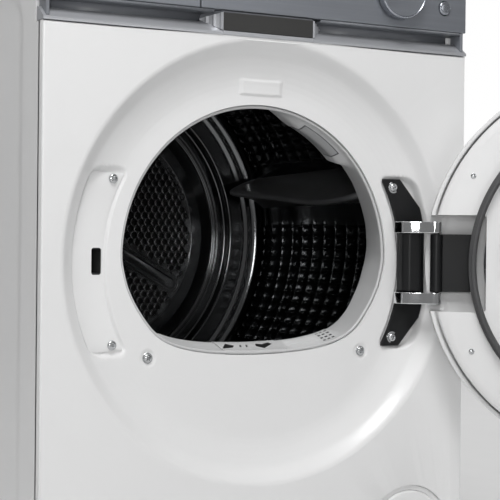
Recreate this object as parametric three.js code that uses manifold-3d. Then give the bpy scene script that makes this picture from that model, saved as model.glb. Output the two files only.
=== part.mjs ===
// Front-loading clothes dryer with its door standing open.
// Units are millimetres: +X to the right seen from the front, +Y towards the rear, +Z up.
// The origin is the centre of the base tray's underside; the feet reach below it.

import * as THREE from 'three';
import { mergeVertices } from 'three/addons/utils/BufferGeometryUtils.js';
import Module from 'manifold-3d';

const wasm = await Module();
wasm.setup();

// ---- Driving dimensions ---------------------------------------------------------------------

const GAP = 0.5;                 // running gap between neighbouring pieces
const CABINET = { width: 595, depth: 610, top: 830, sheet: 2.5 };
const HALF_WIDTH = CABINET.width / 2;
const FRONT = -CABINET.depth / 2;    // plane of the front panel
const REAR = CABINET.depth / 2;      // plane of the rear panel

const FOOT = { padRadius: 19, padHeight: 6, drop: 15, stemRadius: 4, spacingX: 245, spacingY: 245 };
const TRAY = { floor: 10, height: 60, wall: 8, halfWidth: 292, halfDepth: 298 };
const WORKTOP = { thickness: 15, cornerRadius: 8 };

const RECESS = { z: 430, outer: 270, bevel: 256.5, bevelDepth: 14, floorRadius: 222, floorDepth: 24.6 };
const FRONT_PANEL = { bottom: 6, top: 703, sheet: 3 };
const OPENING = { radius: 188.5, rise: 5.8, sill: 114 };
const POCKET = { inner: 207, outer: 250, halfHeight: 112, depth: 3 };
const LATCH_SLOT = { x: -219, width: 12.5, z: 0.7, height: 31.5 };
const PLATE_SCREW = { x: 198.5, z: 97.9, radius: 6 };
const PANEL_SCREW = { x: 151.8, z: -114.5, radius: 5 };

const CONTROL = { bottom: 734, split: -98, shell: 4, depth: 22 };
const GRIP = { bottom: 709, top: 733.5, wallDepth: 26, flare: 22 };
const TRIM = { bottom: 703.6, top: 708.5, lipTop: 720, lipDepth: 18, depth: 20 };
const BADGE = { left: -67, right: 59, bottom: 709.5, top: 731, depth: 2 };
const KNOB = { x: 190, z: 779, radius: 36, height: 12, holeRadius: 12 };
const BUTTON = { x: 262, startZ: 792, optionZ: 764, radius: 9 };

const TANK = { left: -282, right: -104, front: -284, rear: 215, bottom: 745, top: 803, wall: 3 };

const AXIS_Z = 463;              // height of the drum's axis
const DRUM = { radius: 285, sheet: 2, front: 98, back: 522 };   // depths behind the front plane
const BACK_DISC = { radius: 176, depth: 550, rim: 282.6, sheet: 3 };
const SHAFT = { radius: 8, bore: 8.3, end: 594 };
const LIFTER = { height: 64, halfBase: 30, front: 132, rear: 505, angles: [15.5, 135.5, 255.5] };
const TUNNEL = { front: 31.2, rear: 85, flare: 10, wall: 4, seat: 278, seatRear: 114, plateDepth: 82 };
const ROLLER = { radius: 18, bore: 5.4, pin: 5, front: 112, rear: 128, angle: 35 };
const FILTER = { halfWidth: 72, front: 42, rear: 66, bottom: 204, top: 322 };
const LAMP = { x: 128, z: 137, width: 62 };

const DOOR = { outer: 254, window: 174, open: 148, pivotX: 238, pivotForward: 20 };
const HINGE = { armZ: 46, armHeight: 15, knuckle: 8, pin: 3.5, pinBore: 3.8 };

const MOTOR = { x: -170, z: 95, radius: 52, front: -60, rear: 88, pulley: 10, pulleyFront: -98 };
const BELT = { front: -93, width: 8, thickness: 2.4, clearance: 0.9 };
const FAN = { radius: 58, front: 110, rear: 150 };
const COMPRESSOR = { x: -205, y: 222, radius: 60, bottom: 12, top: 196 };
const EXCHANGER = { left: 96, right: 284, front: -286, rear: 225, bottom: 13, top: 168, wall: 3 };
const SERVICE = { x: 214, z: 75, coverRadius: 58.5, holeRadius: 65.5, portRadius: 56 };

const ROUND = { coarse: 16, medium: 24, fine: 40 };     // facets round a circle

const COLOUR = {
  white: 0xe6e6e6, whitePlastic: 0xdedede, steel: 0xb9bcc0, screw: 0xa8aaad, fascia: 0x7f848c,
  grip: 0x2a2c30, trim: 0xb5b8bd, badge: 0x2d2b2a, grey: 0x9a9c9e, lightGrey: 0xbfc1c2,
  drum: 0x2b2d30, black: 0x191a1c, rubber: 0x3a3a3c, glass: 0x20242a, clear: 0xcfd8dc,
  chrome: 0xd8dadd, board: 0x2f6b3f, tray: 0x55585c, motor: 0x6d7075, copper: 0xb98a5a,
};

// ---- Solid helpers --------------------------------------------------------------------------

const deep = (depth) => FRONT + depth;
const radians = (degrees) => (degrees * Math.PI) / 180;

/** Six times the signed volume of a triangle list; negative when its faces point inwards. */
function signedVolume(position, index) {
  let total = 0;
  const [a, b, c] = [new THREE.Vector3(), new THREE.Vector3(), new THREE.Vector3()];
  for (let i = 0; i < index.length; i += 3) {
    a.fromArray(position, index[i] * 3);
    b.fromArray(position, index[i + 1] * 3);
    c.fromArray(position, index[i + 2] * 3);
    total += a.dot(b.cross(c));
  }
  return total;
}

/** Turns a closed three.js geometry into a solid that can be joined and cut. */
function solid(geometry) {
  const bare = geometry.clone();
  bare.deleteAttribute('normal');
  bare.deleteAttribute('uv');
  const welded = mergeVertices(bare, 1e-3);
  const position = Array.from(welded.attributes.position.array);
  let triangles = [];
  const source = welded.index.array;
  for (let i = 0; i < source.length; i += 3) {
    const [p, q, r] = [source[i], source[i + 1], source[i + 2]];
    if (p !== q && q !== r && r !== p) triangles.push(p, q, r);
  }
  if (signedVolume(position, triangles) < 0) triangles = triangles.reverse();
  const mesh = new wasm.Mesh({
    numProp: 3,
    vertProperties: Float32Array.from(position),
    triVerts: Uint32Array.from(triangles),
  });
  return new wasm.Manifold(mesh);
}

const join = (first, ...rest) => rest.reduce((sum, piece) => sum.add(piece), first);
const cut = (first, ...rest) => rest.reduce((left, piece) => left.subtract(piece), first);

/** Box between two opposite corners. */
function box([x0, y0, z0], [x1, y1, z1]) {
  const geometry = new THREE.BoxGeometry(x1 - x0, y1 - y0, z1 - z0);
  geometry.translate((x0 + x1) / 2, (y0 + y1) / 2, (z0 + z1) / 2);
  return solid(geometry);
}

/** Body of revolution about a line along +Y; the profile lists [radius, y]. */
function turnedY(profile, x, z, facets) {
  const points = profile.map(([radius, y]) => new THREE.Vector2(radius, y));
  const geometry = new THREE.LatheGeometry(points, facets);
  geometry.translate(x, 0, -z);
  geometry.applyMatrix4(new THREE.Matrix4().set(1, 0, 0, 0, 0, 1, 0, 0, 0, 0, -1, 0, 0, 0, 0, 1));
  return solid(geometry);
}

/** Body of revolution about a line along +Z; the profile lists [radius, z]. */
function turnedZ(profile, x, y, facets) {
  const points = profile.map(([radius, z]) => new THREE.Vector2(radius, z));
  const geometry = new THREE.LatheGeometry(points, facets);
  geometry.rotateX(Math.PI / 2);
  geometry.translate(x, y, 0);
  return solid(geometry);
}

/** Cylinder along Y between two depths. */
const rodY = (radius, y0, y1, x, z, facets) =>
  turnedY([[0, y0], [radius, y0], [radius, y1], [0, y1]], x, z, facets);

/** Cylinder along Z between two heights. */
const rodZ = (radius, z0, z1, x, y, facets) =>
  turnedZ([[0, z0], [radius, z0], [radius, z1], [0, z1]], x, y, facets);

/** Prism along Y of an outline given as [x, z] points. */
function prismY(outline, y0, y1) {
  const shape = new THREE.Shape(outline.map(([x, z]) => new THREE.Vector2(x, z)));
  const geometry = new THREE.ExtrudeGeometry(shape, { depth: y1 - y0, bevelEnabled: false });
  geometry.rotateX(Math.PI / 2);
  geometry.translate(0, y1, 0);
  return solid(geometry);
}

/** Prism along Z of an outline given as [x, y] points. */
function prismZ(outline, z0, z1) {
  const shape = new THREE.Shape(outline.map(([x, y]) => new THREE.Vector2(x, y)));
  const geometry = new THREE.ExtrudeGeometry(shape, { depth: z1 - z0, bevelEnabled: false });
  geometry.translate(0, 0, z0);
  return solid(geometry);
}

/** Prism along X of an outline given as [y, z] points. */
function prismX(outline, x0, x1) {
  const shape = new THREE.Shape(outline.map(([y, z]) => new THREE.Vector2(y, z)));
  const geometry = new THREE.ExtrudeGeometry(shape, { depth: x1 - x0, bevelEnabled: false });
  geometry.applyMatrix4(new THREE.Matrix4().set(0, 0, 1, x0, 1, 0, 0, 0, 0, 1, 0, 0, 0, 0, 0, 1));
  return solid(geometry);
}

/** Points on an arc, from one angle to another in degrees, both ends included. */
function arc(cx, cz, radius, from, to, steps) {
  return Array.from({ length: steps + 1 }, (_, i) => {
    const angle = radians(from + ((to - from) * i) / steps);
    return [cx + radius * Math.cos(angle), cz + radius * Math.sin(angle)];
  });
}

/** Rectangle outline with rounded corners. */
function roundedRectangle(x0, z0, x1, z1, radius, steps = 4) {
  return [
    ...arc(x1 - radius, z0 + radius, radius, -90, 0, steps),
    ...arc(x1 - radius, z1 - radius, radius, 0, 90, steps),
    ...arc(x0 + radius, z1 - radius, radius, 90, 180, steps),
    ...arc(x0 + radius, z0 + radius, radius, 180, 270, steps),
  ];
}

/** Smallest convex outline round a set of [x, z] points, anticlockwise. */
function convexOutline(points) {
  const sorted = [...points].sort((a, b) => a[0] - b[0] || a[1] - b[1]);
  const turn = (o, a, b) => (a[0] - o[0]) * (b[1] - o[1]) - (a[1] - o[1]) * (b[0] - o[0]);
  const half = (list) => {
    const chain = [];
    for (const point of list) {
      while (chain.length > 1 && turn(chain.at(-2), chain.at(-1), point) <= 0) chain.pop();
      chain.push(point);
    }
    chain.pop();
    return chain;
  };
  return [...half(sorted), ...half(sorted.reverse())];
}

/** Named mesh of one solid, with its own plain material. */
function piece(name, body, colour) {
  const data = body.getMesh();
  const geometry = new THREE.BufferGeometry();
  geometry.setAttribute('position', new THREE.BufferAttribute(Float32Array.from(data.vertProperties), 3));
  geometry.setIndex(new THREE.BufferAttribute(Uint32Array.from(data.triVerts), 1));
  geometry.computeVertexNormals();
  const mesh = new THREE.Mesh(geometry, new THREE.MeshStandardMaterial({ color: colour }));
  mesh.name = name;
  return mesh;
}

// ---- Cabinet --------------------------------------------------------------------------------

/** Side panel: folded sheet with a flange at the front and at the rear. */
function sidePanel(side) {
  const outer = side * HALF_WIDTH;
  const inner = side * (HALF_WIDTH - CABINET.sheet);
  const flange = side * (HALF_WIDTH - 16);
  const [front, rear] = [FRONT + 3.5, REAR - 3.5];
  const outline = [
    [outer, front], [outer, rear], [flange, rear], [flange, rear - CABINET.sheet],
    [inner, rear - CABINET.sheet], [inner, front + CABINET.sheet],
    [flange, front + CABINET.sheet], [flange, front],
  ];
  const sheet = prismZ(outline, 4, CABINET.top - WORKTOP.thickness - GAP);
  const [x0, x1] = side < 0 ? [outer - 1, flange + 1] : [flange - 1, outer + 1];
  return cut(sheet, box([x0, FRONT, FRONT_PANEL.top], [x1, FRONT + CONTROL.depth + GAP, CABINET.top]));
}

function rearPanel() {
  const plate = box([-HALF_WIDTH, REAR - 3, 6], [HALF_WIDTH, REAR - 0.5, 814]);
  return cut(plate, rodY(205, REAR - 10, REAR + 10, 0, AXIS_Z, ROUND.medium));
}

/** Round pressing that closes the air duct behind the drum. */
function rearDuctCover() {
  const profile = [
    [0, REAR + 12], [170, REAR + 12], [196, REAR], [215, REAR], [215, REAR + 2],
    [198, REAR + 2], [172, REAR + 14], [0, REAR + 14],
  ];
  return turnedY(profile, 0, AXIS_Z, ROUND.medium);
}

function worktop() {
  const bottom = CABINET.top - WORKTOP.thickness;
  const outline = roundedRectangle(-HALF_WIDTH, FRONT, HALF_WIDTH, REAR, WORKTOP.cornerRadius);
  const slab = prismZ(outline, bottom, CABINET.top);
  const hollow = box([-285, FRONT + 12, bottom - 1], [285, REAR - 12, bottom + 9]);
  return cut(slab, hollow);
}

/** D-shaped loading hole: a circle whose lower part gives way to a shallow sill. */
function openingOutline(grow) {
  const radius = OPENING.radius + grow;
  const z = RECESS.z + OPENING.rise;
  const sill = RECESS.z - OPENING.sill - grow;
  const upper = arc(0, z, radius, -22, 202, 36);
  const left = [
    [-154.5 - grow * 0.9, RECESS.z - 78 - grow * 0.5],
    [-130 - grow * 0.5, RECESS.z - 97 - grow * 0.8],
  ];
  const low = [-98, -60, 0, 60, 98].map((x) => [x, sill + (x / 98) ** 2 * 9]);
  const right = left.map(([x, height]) => [-x, height]).reverse();
  return [...upper, ...left, ...low, ...right];
}

/** Curved pocket beside the loading hole, on one side. */
function pocketOutline(side, shrink) {
  const top = Math.asin((POCKET.halfHeight - shrink) / (POCKET.inner + shrink)) * (180 / Math.PI);
  const topOuter = Math.asin((POCKET.halfHeight - shrink) / (POCKET.outer - shrink)) * (180 / Math.PI);
  const inner = arc(0, RECESS.z, POCKET.inner + shrink, top, -top, 8);
  const outer = arc(0, RECESS.z, POCKET.outer - shrink, -topOuter, topOuter, 8);
  return [...inner, ...outer].map(([x, z]) => [side * x, z]);
}

function frontPanel() {
  const { sheet } = FRONT_PANEL;
  const [floorFace, floorBack] = [deep(RECESS.floorDepth), deep(RECESS.floorDepth + sheet)];
  const dish = turnedY([
    [150, floorFace], [RECESS.floorRadius, floorFace],
    [RECESS.bevel, deep(RECESS.bevelDepth)], [RECESS.outer, FRONT], [RECESS.outer + 2, FRONT],
    [RECESS.outer + 2, FRONT + sheet], [RECESS.bevel + 2, deep(RECESS.bevelDepth + sheet)],
    [RECESS.floorRadius + 2, floorBack], [150, floorBack], [150, floorFace],
  ], 0, RECESS.z, ROUND.fine);
  const disc = rodY(152, floorFace, floorBack, 0, RECESS.z, ROUND.medium);
  const plate = cut(
    box([-HALF_WIDTH, FRONT, FRONT_PANEL.bottom], [HALF_WIDTH, FRONT + sheet, FRONT_PANEL.top]),
    rodY(RECESS.outer + 1, FRONT - 1, FRONT + sheet + 1, 0, RECESS.z, ROUND.fine),
  );
  const boss = prismY(
    roundedRectangle(-30, RECESS.z + 205.5, 30, RECESS.z + 225.5, 3, 2),
    deep(RECESS.floorDepth - 2.5), deep(RECESS.floorDepth + 1),
  );
  const slot = box(
    [LATCH_SLOT.x - LATCH_SLOT.width / 2, FRONT - 1, RECESS.z + LATCH_SLOT.z - LATCH_SLOT.height / 2],
    [LATCH_SLOT.x + LATCH_SLOT.width / 2, deep(45), RECESS.z + LATCH_SLOT.z + LATCH_SLOT.height / 2],
  );
  const screwHole = (x, height) => rodY(2.6, FRONT, deep(40), x, RECESS.z + height, 8);
  const pocketFloor = RECESS.floorDepth + POCKET.depth;
  let panel = join(plate, dish, disc, boss);
  for (const side of [-1, 1]) {
    const [y0, y1] = [deep(RECESS.floorDepth + 0.5), deep(pocketFloor + sheet)];
    panel = join(panel, prismY(pocketOutline(side, -2), y0, y1));
    panel = cut(panel, prismY(pocketOutline(side, 0), deep(16), deep(pocketFloor)));
    panel = cut(panel, screwHole(side * PANEL_SCREW.x, PANEL_SCREW.z));
    for (const level of [-1, 1]) {
      panel = cut(panel, screwHole(side * PLATE_SCREW.x, level * PLATE_SCREW.z));
    }
  }
  return cut(
    panel, slot,
    prismY(openingOutline(0), FRONT - 1, deep(40)),
    rodY(SERVICE.holeRadius, FRONT - 1, FRONT + 5, SERVICE.x, SERVICE.z, ROUND.medium),
  );
}

function baseTray() {
  const { floor, height, wall, halfWidth, halfDepth } = TRAY;
  let tray = box([-halfWidth, -halfDepth, 0], [halfWidth, halfDepth, height]);
  const rib = 84;
  tray = cut(
    tray,
    box([-halfWidth + wall, -halfDepth + wall, floor], [rib, halfDepth - wall, height + 1]),
    box([rib + wall, -halfDepth + 4, floor], [halfWidth - 4, halfDepth - wall, height + 1]),
    rodY(SERVICE.holeRadius + 1, -halfDepth - 1, -halfDepth + 12, SERVICE.x, SERVICE.z, ROUND.medium),
  );
  for (const [x, y] of footPlaces()) {
    tray = cut(tray, rodZ(FOOT.stemRadius + 0.4, -1, 9, x, y, ROUND.coarse));
  }
  return tray;
}

/** Centres of the four levelling feet. */
function footPlaces() {
  const { spacingX, spacingY } = FOOT;
  return [[-spacingX, -spacingY], [spacingX, -spacingY], [-spacingX, spacingY], [spacingX, spacingY]];
}

function foot([x, y]) {
  const profile = [
    [0, -FOOT.drop], [FOOT.padRadius, -FOOT.drop], [FOOT.padRadius, FOOT.padHeight - FOOT.drop],
    [FOOT.stemRadius, FOOT.padHeight + 2 - FOOT.drop], [FOOT.stemRadius, 8.5], [0, 8.5],
  ];
  return turnedZ(profile, x, y, ROUND.coarse);
}

/** Round lid over the fluff filter's service port, with a finger slot across it. */
function serviceCover() {
  const profile = [
    [0, FRONT - 1], [SERVICE.coverRadius - 3, FRONT - 1], [SERVICE.coverRadius, FRONT + 1],
    [SERVICE.coverRadius, FRONT + 8], [SERVICE.portRadius - 4, FRONT + 8],
    [SERVICE.portRadius - 4, FRONT + 4], [0, FRONT + 4],
  ];
  const lid = turnedY(profile, SERVICE.x, SERVICE.z, ROUND.medium);
  const slot = box(
    [SERVICE.x - 16, FRONT - 2, SERVICE.z - 3], [SERVICE.x + 16, FRONT + 1.5, SERVICE.z + 3],
  );
  return cut(lid, slot);
}

/** White plate that fills the pocket on the latch side, pierced by the slot for the hook. */
function latchPlate() {
  const back = deep(RECESS.floorDepth + POCKET.depth - 0.3);
  const plate = prismY(pocketOutline(-1, 1.2), deep(RECESS.floorDepth + 0.4), back);
  const slot = box(
    [LATCH_SLOT.x - LATCH_SLOT.width / 2, FRONT, RECESS.z + LATCH_SLOT.z - LATCH_SLOT.height / 2],
    [LATCH_SLOT.x + LATCH_SLOT.width / 2, deep(45), RECESS.z + LATCH_SLOT.z + LATCH_SLOT.height / 2],
  );
  const holes = [-1, 1].map((level) =>
    rodY(2.6, FRONT, deep(40), -PLATE_SCREW.x, RECESS.z + level * PLATE_SCREW.z, 8));
  return cut(plate, slot, ...holes);
}

/** Pan-head screw along Y: head in front of the surface, shank in its hole. */
function screw(x, z, surface, headRadius) {
  const profile = [
    [0, surface - 3], [headRadius * 0.7, surface - 2.8], [headRadius, surface - 0.3],
    [2.2, surface - 0.3], [2.2, surface + 6], [0, surface + 6],
  ];
  return turnedY(profile, x, RECESS.z + z, 12);
}

// ---- Control panel --------------------------------------------------------------------------

/** Shallow moulded panel, open at the back, with an extra depth for its side walls. */
function panelShell(x0, x1, z0, z1) {
  const outer = box([x0, FRONT, z0], [x1, FRONT + CONTROL.depth, z1]);
  const { shell } = CONTROL;
  const hollow = box([x0 + shell, FRONT + shell, z0 + shell], [x1 - shell, FRONT + 40, z1 - shell]);
  return cut(outer, hollow);
}

function fascia() {
  const top = CABINET.top - WORKTOP.thickness - GAP;
  const shell = panelShell(CONTROL.split + GAP, HALF_WIDTH, CONTROL.bottom, top);
  const holes = [
    rodY(KNOB.holeRadius, FRONT - 1, FRONT + 6, KNOB.x, KNOB.z, ROUND.coarse),
    rodY(BUTTON.radius + 0.6, FRONT - 1, FRONT + 6, BUTTON.x, BUTTON.startZ, ROUND.coarse),
    rodY(BUTTON.radius + 0.6, FRONT - 1, FRONT + 6, BUTTON.x, BUTTON.optionZ, ROUND.coarse),
  ];
  return cut(shell, ...holes);
}

/** Outline, seen from above, of the block behind the badge: its sides flare towards the rear. */
function badgeBlockOutline(grow) {
  const wall = deep(GRIP.wallDepth + 1);
  const [left, right] = [BADGE.left - grow, BADGE.right + grow];
  const front = FRONT + BADGE.depth + GAP - grow;
  return [[left, front], [right, front], [right + GRIP.flare, wall], [left - GRIP.flare, wall]];
}

/** Dark undercut channel that serves as the hand grip below the control panel. */
function gripRail() {
  const wall = deep(GRIP.wallDepth);
  const half = HALF_WIDTH - 4;
  const block = box([-half, FRONT + 1, GRIP.bottom], [half, wall + 4, GRIP.top]);
  const channel = box([-half + 4, FRONT - 1, GRIP.bottom - 1], [half - 4, wall, GRIP.top - 3]);
  const badgeSeat = box(
    [BADGE.left - GAP, FRONT, BADGE.bottom - GAP],
    [BADGE.right + GAP, deep(BADGE.depth + GAP), BADGE.top + GAP],
  );
  const badgeBlock = prismZ(badgeBlockOutline(0), GRIP.bottom, GRIP.top - 1);
  return cut(join(cut(block, channel), badgeBlock), badgeSeat);
}

/** Light strip above the front panel, whose lip slopes up and back into the grip. */
function lowerTrim() {
  const half = HALF_WIDTH - 8 - GAP;
  const strip = box([-HALF_WIDTH, FRONT - 1, TRIM.bottom], [HALF_WIDTH, deep(TRIM.depth), TRIM.top]);
  const lip = prismX([
    [FRONT - 1, TRIM.bottom], [FRONT - 1, TRIM.bottom + 3], [deep(TRIM.lipDepth), TRIM.lipTop],
    [deep(TRIM.depth), TRIM.lipTop], [deep(TRIM.depth), TRIM.bottom],
  ], -half, half);
  const badgeGap = prismZ(badgeBlockOutline(GAP), TRIM.top, TRIM.lipTop + 1);
  const badgeWell = box(
    [BADGE.left - GAP, FRONT - 2, TRIM.top], [BADGE.right + GAP, deep(4), TRIM.lipTop + 1],
  );
  return cut(join(strip, lip), badgeGap, badgeWell);
}

const badgeBlank = () =>
  box([BADGE.left, FRONT, BADGE.bottom], [BADGE.right, FRONT + BADGE.depth, BADGE.top]);

function programmeKnob() {
  const face = FRONT - KNOB.height;
  const profile = [
    [0, face], [KNOB.radius - 3.5, face], [KNOB.radius - 2, face + 2], [KNOB.radius, FRONT - 2],
    [KNOB.radius, FRONT - GAP], [8, FRONT - GAP], [8, FRONT + 7], [0, FRONT + 7],
  ];
  return turnedY(profile, KNOB.x, KNOB.z, ROUND.medium);
}

/** Printed circuit board behind the knob, carrying the selector that the knob turns in. */
function controlBoard() {
  const plate = box([70, FRONT + 10, 746], [285, FRONT + 12, 806]);
  const selector = box([KNOB.x - 14, FRONT + 8, KNOB.z - 14], [KNOB.x + 14, FRONT + 11, KNOB.z + 14]);
  const transformer = box([88, FRONT + 11, 752], [128, FRONT + 20, 786]);
  return join(plate, selector, transformer);
}

function pushButton(z) {
  const profile = [
    [0, FRONT - 3], [BUTTON.radius - 1, FRONT - 3], [BUTTON.radius, FRONT - 2],
    [BUTTON.radius, FRONT + 5], [0, FRONT + 5],
  ];
  return turnedY(profile, BUTTON.x, z, ROUND.coarse);
}

const drawerFront = () => panelShell(
  -HALF_WIDTH, CONTROL.split - GAP, CONTROL.bottom, CABINET.top - WORKTOP.thickness - GAP,
);

/** Condensate tank, open at the top. */
function waterTank() {
  const { left, right, front, rear, bottom, top, wall } = TANK;
  const outer = box([left, front, bottom], [right, rear, top]);
  const inner = box([left + wall, front + wall, bottom + wall], [right - wall, rear - wall, top + 1]);
  return cut(outer, inner);
}

/** Channel that the tank slides in. */
function drawerHousing() {
  const { left, right, rear, bottom, top } = TANK;
  const outer = box([left - 4, FRONT + 24, bottom - 4], [right + 4, rear + 6, top + 4]);
  const bay = box([left - 1, FRONT + 20, bottom - 1], [right + 1, rear + 2, top + 6]);
  return cut(outer, bay);
}

// ---- Loading tunnel and drum ----------------------------------------------------------------

/** Positions of the two rollers under the drum's front edge. */
function rollerPlace(side) {
  const reach = DRUM.radius + ROLLER.radius + 0.4;
  const angle = radians(ROLLER.angle);
  return [side * reach * Math.sin(angle), AXIS_Z - reach * Math.cos(angle)];
}

/** Outline of the tunnel's bore, opening out slightly towards the drum. */
function tunnelBore(y0, y1, grow) {
  return prismY(openingOutline(grow), y0, y1);
}

function frontTunnel() {
  const { front, rear, wall, flare, seat, seatRear, plateDepth } = TUNNEL;
  const tube = tunnelBore(deep(front), deep(rear), wall + flare);
  const plate = rodY(seat, deep(plateDepth), deep(plateDepth + 4), 0, AXIS_Z, ROUND.fine);
  const seatRing = turnedY([
    [seat - 6, deep(plateDepth + 2)], [seat, deep(plateDepth + 2)], [seat, deep(seatRear)],
    [seat - 6, deep(seatRear)], [seat - 6, deep(plateDepth + 2)],
  ], 0, AXIS_Z, ROUND.fine);
  let body = join(tube, plate, seatRing);
  for (const side of [-1, 1]) {
    const [x, z] = rollerPlace(side);
    const ear = prismY(convexOutline([
      ...arc(x, z, 12, 0, 330, 11), ...arc(x * 0.8, z + 60, 20, 0, 330, 11),
    ]), deep(plateDepth), deep(plateDepth + 4));
    body = join(body, ear, rodY(ROLLER.pin, deep(plateDepth), deep(ROLLER.rear + 2), x, z, ROUND.coarse));
  }
  const chute = box(
    [-FILTER.halfWidth - 5, deep(FILTER.front - 5), FILTER.bottom - 6],
    [FILTER.halfWidth + 5, deep(FILTER.rear + 5), RECESS.z - OPENING.sill + 4],
  );
  const filterBay = box(
    [-FILTER.halfWidth - 1, deep(FILTER.front - 1), FILTER.bottom - 1],
    [FILTER.halfWidth + 1, deep(FILTER.rear + 1), RECESS.z],
  );
  const lampSeat = box(
    [LAMP.x - LAMP.width / 2, deep(40), RECESS.z + LAMP.z - 24],
    [LAMP.x + LAMP.width / 2, deep(rear - 2), RECESS.z + LAMP.z + 26],
  );
  const bore = tunnelBore(deep(front) - 1, deep(rear + 10), flare);
  return cut(join(body, chute), bore, filterBay, lampSeat);
}

/** Lens of the drum lamp, at the tunnel's upper right. */
function lampCover() {
  const outer = box(
    [LAMP.x - LAMP.width / 2 + 1, deep(41), RECESS.z + LAMP.z - 23],
    [LAMP.x + LAMP.width / 2 - 1, deep(TUNNEL.rear - 3), RECESS.z + LAMP.z + 25],
  );
  const inside = tunnelBore(deep(20), deep(100), TUNNEL.flare - 6);
  return cut(outer, inside);
}

/** Lint filter cassette: a frame round two windows, with a raised handle on top. */
function lintFilter() {
  const { halfWidth, front, rear, bottom, top } = FILTER;
  const cassette = box([-halfWidth, deep(front), bottom], [halfWidth, deep(rear), top - 10]);
  const handle = box([-26, deep(front + 4), top - 11], [26, deep(rear - 4), top]);
  const windows = [-1, 1].map((side) => box(
    [side < 0 ? -halfWidth + 6 : 4, deep(front) - 1, bottom + 8],
    [side < 0 ? -4 : halfWidth - 6, deep(rear) + 1, top - 24],
  ));
  return cut(join(cassette, handle), ...windows);
}

function drumShell() {
  const { radius, sheet, front, back } = DRUM;
  const profile = [
    [radius - sheet, deep(front)], [radius, deep(front)], [radius, deep(back)],
    [radius - sheet, deep(back)], [radius - sheet, deep(front)],
  ];
  return turnedY(profile, 0, AXIS_Z, ROUND.fine);
}

/** Stepped rear wall of the drum with the shaft it turns on. */
function drumBack() {
  const { radius, depth, rim, sheet } = BACK_DISC;
  const face = [
    [radius, depth], [radius + 5, depth - 10], [221, depth - 12], [228, depth - 20],
    [248, depth - 22], [256, depth - 30], [rim, depth - 34],
  ];
  const frontSide = face.map(([r, d]) => [r, deep(d)]);
  const backSide = face.map(([r, d]) => [r, deep(d + sheet)]).reverse();
  const profile = [[0, deep(depth)], ...frontSide, ...backSide];
  profile.push([SHAFT.radius * 3, deep(depth + sheet)], [SHAFT.radius, deep(depth + 12)]);
  profile.push([SHAFT.radius, deep(SHAFT.end)], [0, deep(SHAFT.end)]);
  return turnedY(profile, 0, AXIS_Z, ROUND.fine);
}

/** Smooth fin that lifts the laundry, turned to its place round the drum. */
function lifter(angle) {
  const { height, halfBase, front, rear } = LIFTER;
  const base = DRUM.radius - DRUM.sheet - 1;
  const foot = Math.sqrt(base ** 2 - halfBase ** 2);
  const ridge = base - height;
  const section = [
    [foot, -halfBase], [foot - 20, -halfBase * 0.62], [ridge + 16, -12], [ridge + 4, -8],
    [ridge, 0], [ridge + 4, 8], [ridge + 16, 12], [foot - 20, halfBase * 0.62], [foot, halfBase],
  ];
  const [c, s] = [Math.cos(radians(angle)), Math.sin(radians(angle))];
  const outline = section.map(([r, t]) => [r * c - t * s, AXIS_Z + r * s + t * c]);
  return prismY(outline, deep(front), deep(rear));
}

function rearBearing() {
  const profile = [
    [SHAFT.bore, deep(566)], [24, deep(566)], [24, deep(590)], [46, deep(594)],
    [46, deep(598)], [SHAFT.bore, deep(598)], [SHAFT.bore, deep(566)],
  ];
  return turnedY(profile, 0, AXIS_Z, ROUND.medium);
}

function supportRoller(side) {
  const [x, z] = rollerPlace(side);
  const profile = [
    [ROLLER.bore, deep(ROLLER.front)], [ROLLER.radius, deep(ROLLER.front)],
    [ROLLER.radius, deep(ROLLER.rear)], [ROLLER.bore, deep(ROLLER.rear)],
    [ROLLER.bore, deep(ROLLER.front)],
  ];
  return turnedY(profile, x, z, ROUND.coarse);
}

// ---- Drive and heat pump --------------------------------------------------------------------

/** Motor: finned round body on a foot that stands on the tray, bored for its shaft. */
function motor() {
  const { x, z, radius, front, rear } = MOTOR;
  const body = turnedY([
    [0, front], [34, front], [radius, front + 14], [radius, rear - 14], [34, rear], [0, rear],
  ], x, z, ROUND.coarse);
  const stand = box([x - 40, front + 20, TRAY.floor + GAP], [x + 40, rear - 20, z - 20]);
  const bore = rodY(6.4, front - 1, rear + 1, x, z, ROUND.coarse);
  return cut(join(body, stand), bore);
}

/** Belt pulley in front of the motor. */
function motorPulley() {
  const { x, z, pulley, pulleyFront, front, rear } = MOTOR;
  const profile = [
    [0, pulleyFront], [pulley + 2, pulleyFront], [pulley + 2, BELT.front - 1], [pulley, BELT.front - 1],
    [pulley, BELT.front + BELT.width + 1], [pulley + 2, BELT.front + BELT.width + 1],
    [pulley + 2, front - 12], [6, front - 12], [6, rear + 16], [0, rear + 16],
  ];
  return turnedY(profile, x, z, ROUND.coarse);
}

/** Fan wheel at the rear end of the motor's shaft. */
function fanWheel() {
  const { x, z } = MOTOR;
  const disc = rodY(FAN.radius, FAN.front, FAN.front + 3, x, z, ROUND.coarse);
  let wheel = join(disc, rodY(12, FAN.front, FAN.rear, x, z, ROUND.coarse));
  for (let blade = 0; blade < 8; blade += 1) {
    const angle = radians(blade * 45);
    const along = [Math.cos(angle), Math.sin(angle)];
    const across = [-along[1] * 1.5, along[0] * 1.5];
    const corner = (r, t) => [x + along[0] * r + across[0] * t, z + along[1] * r + across[1] * t];
    wheel = join(wheel, prismY(
      [corner(8, -1), corner(FAN.radius - 1, -1), corner(FAN.radius - 1, 1), corner(8, 1)],
      FAN.front + 1, FAN.rear,
    ));
  }
  return wheel;
}

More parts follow.
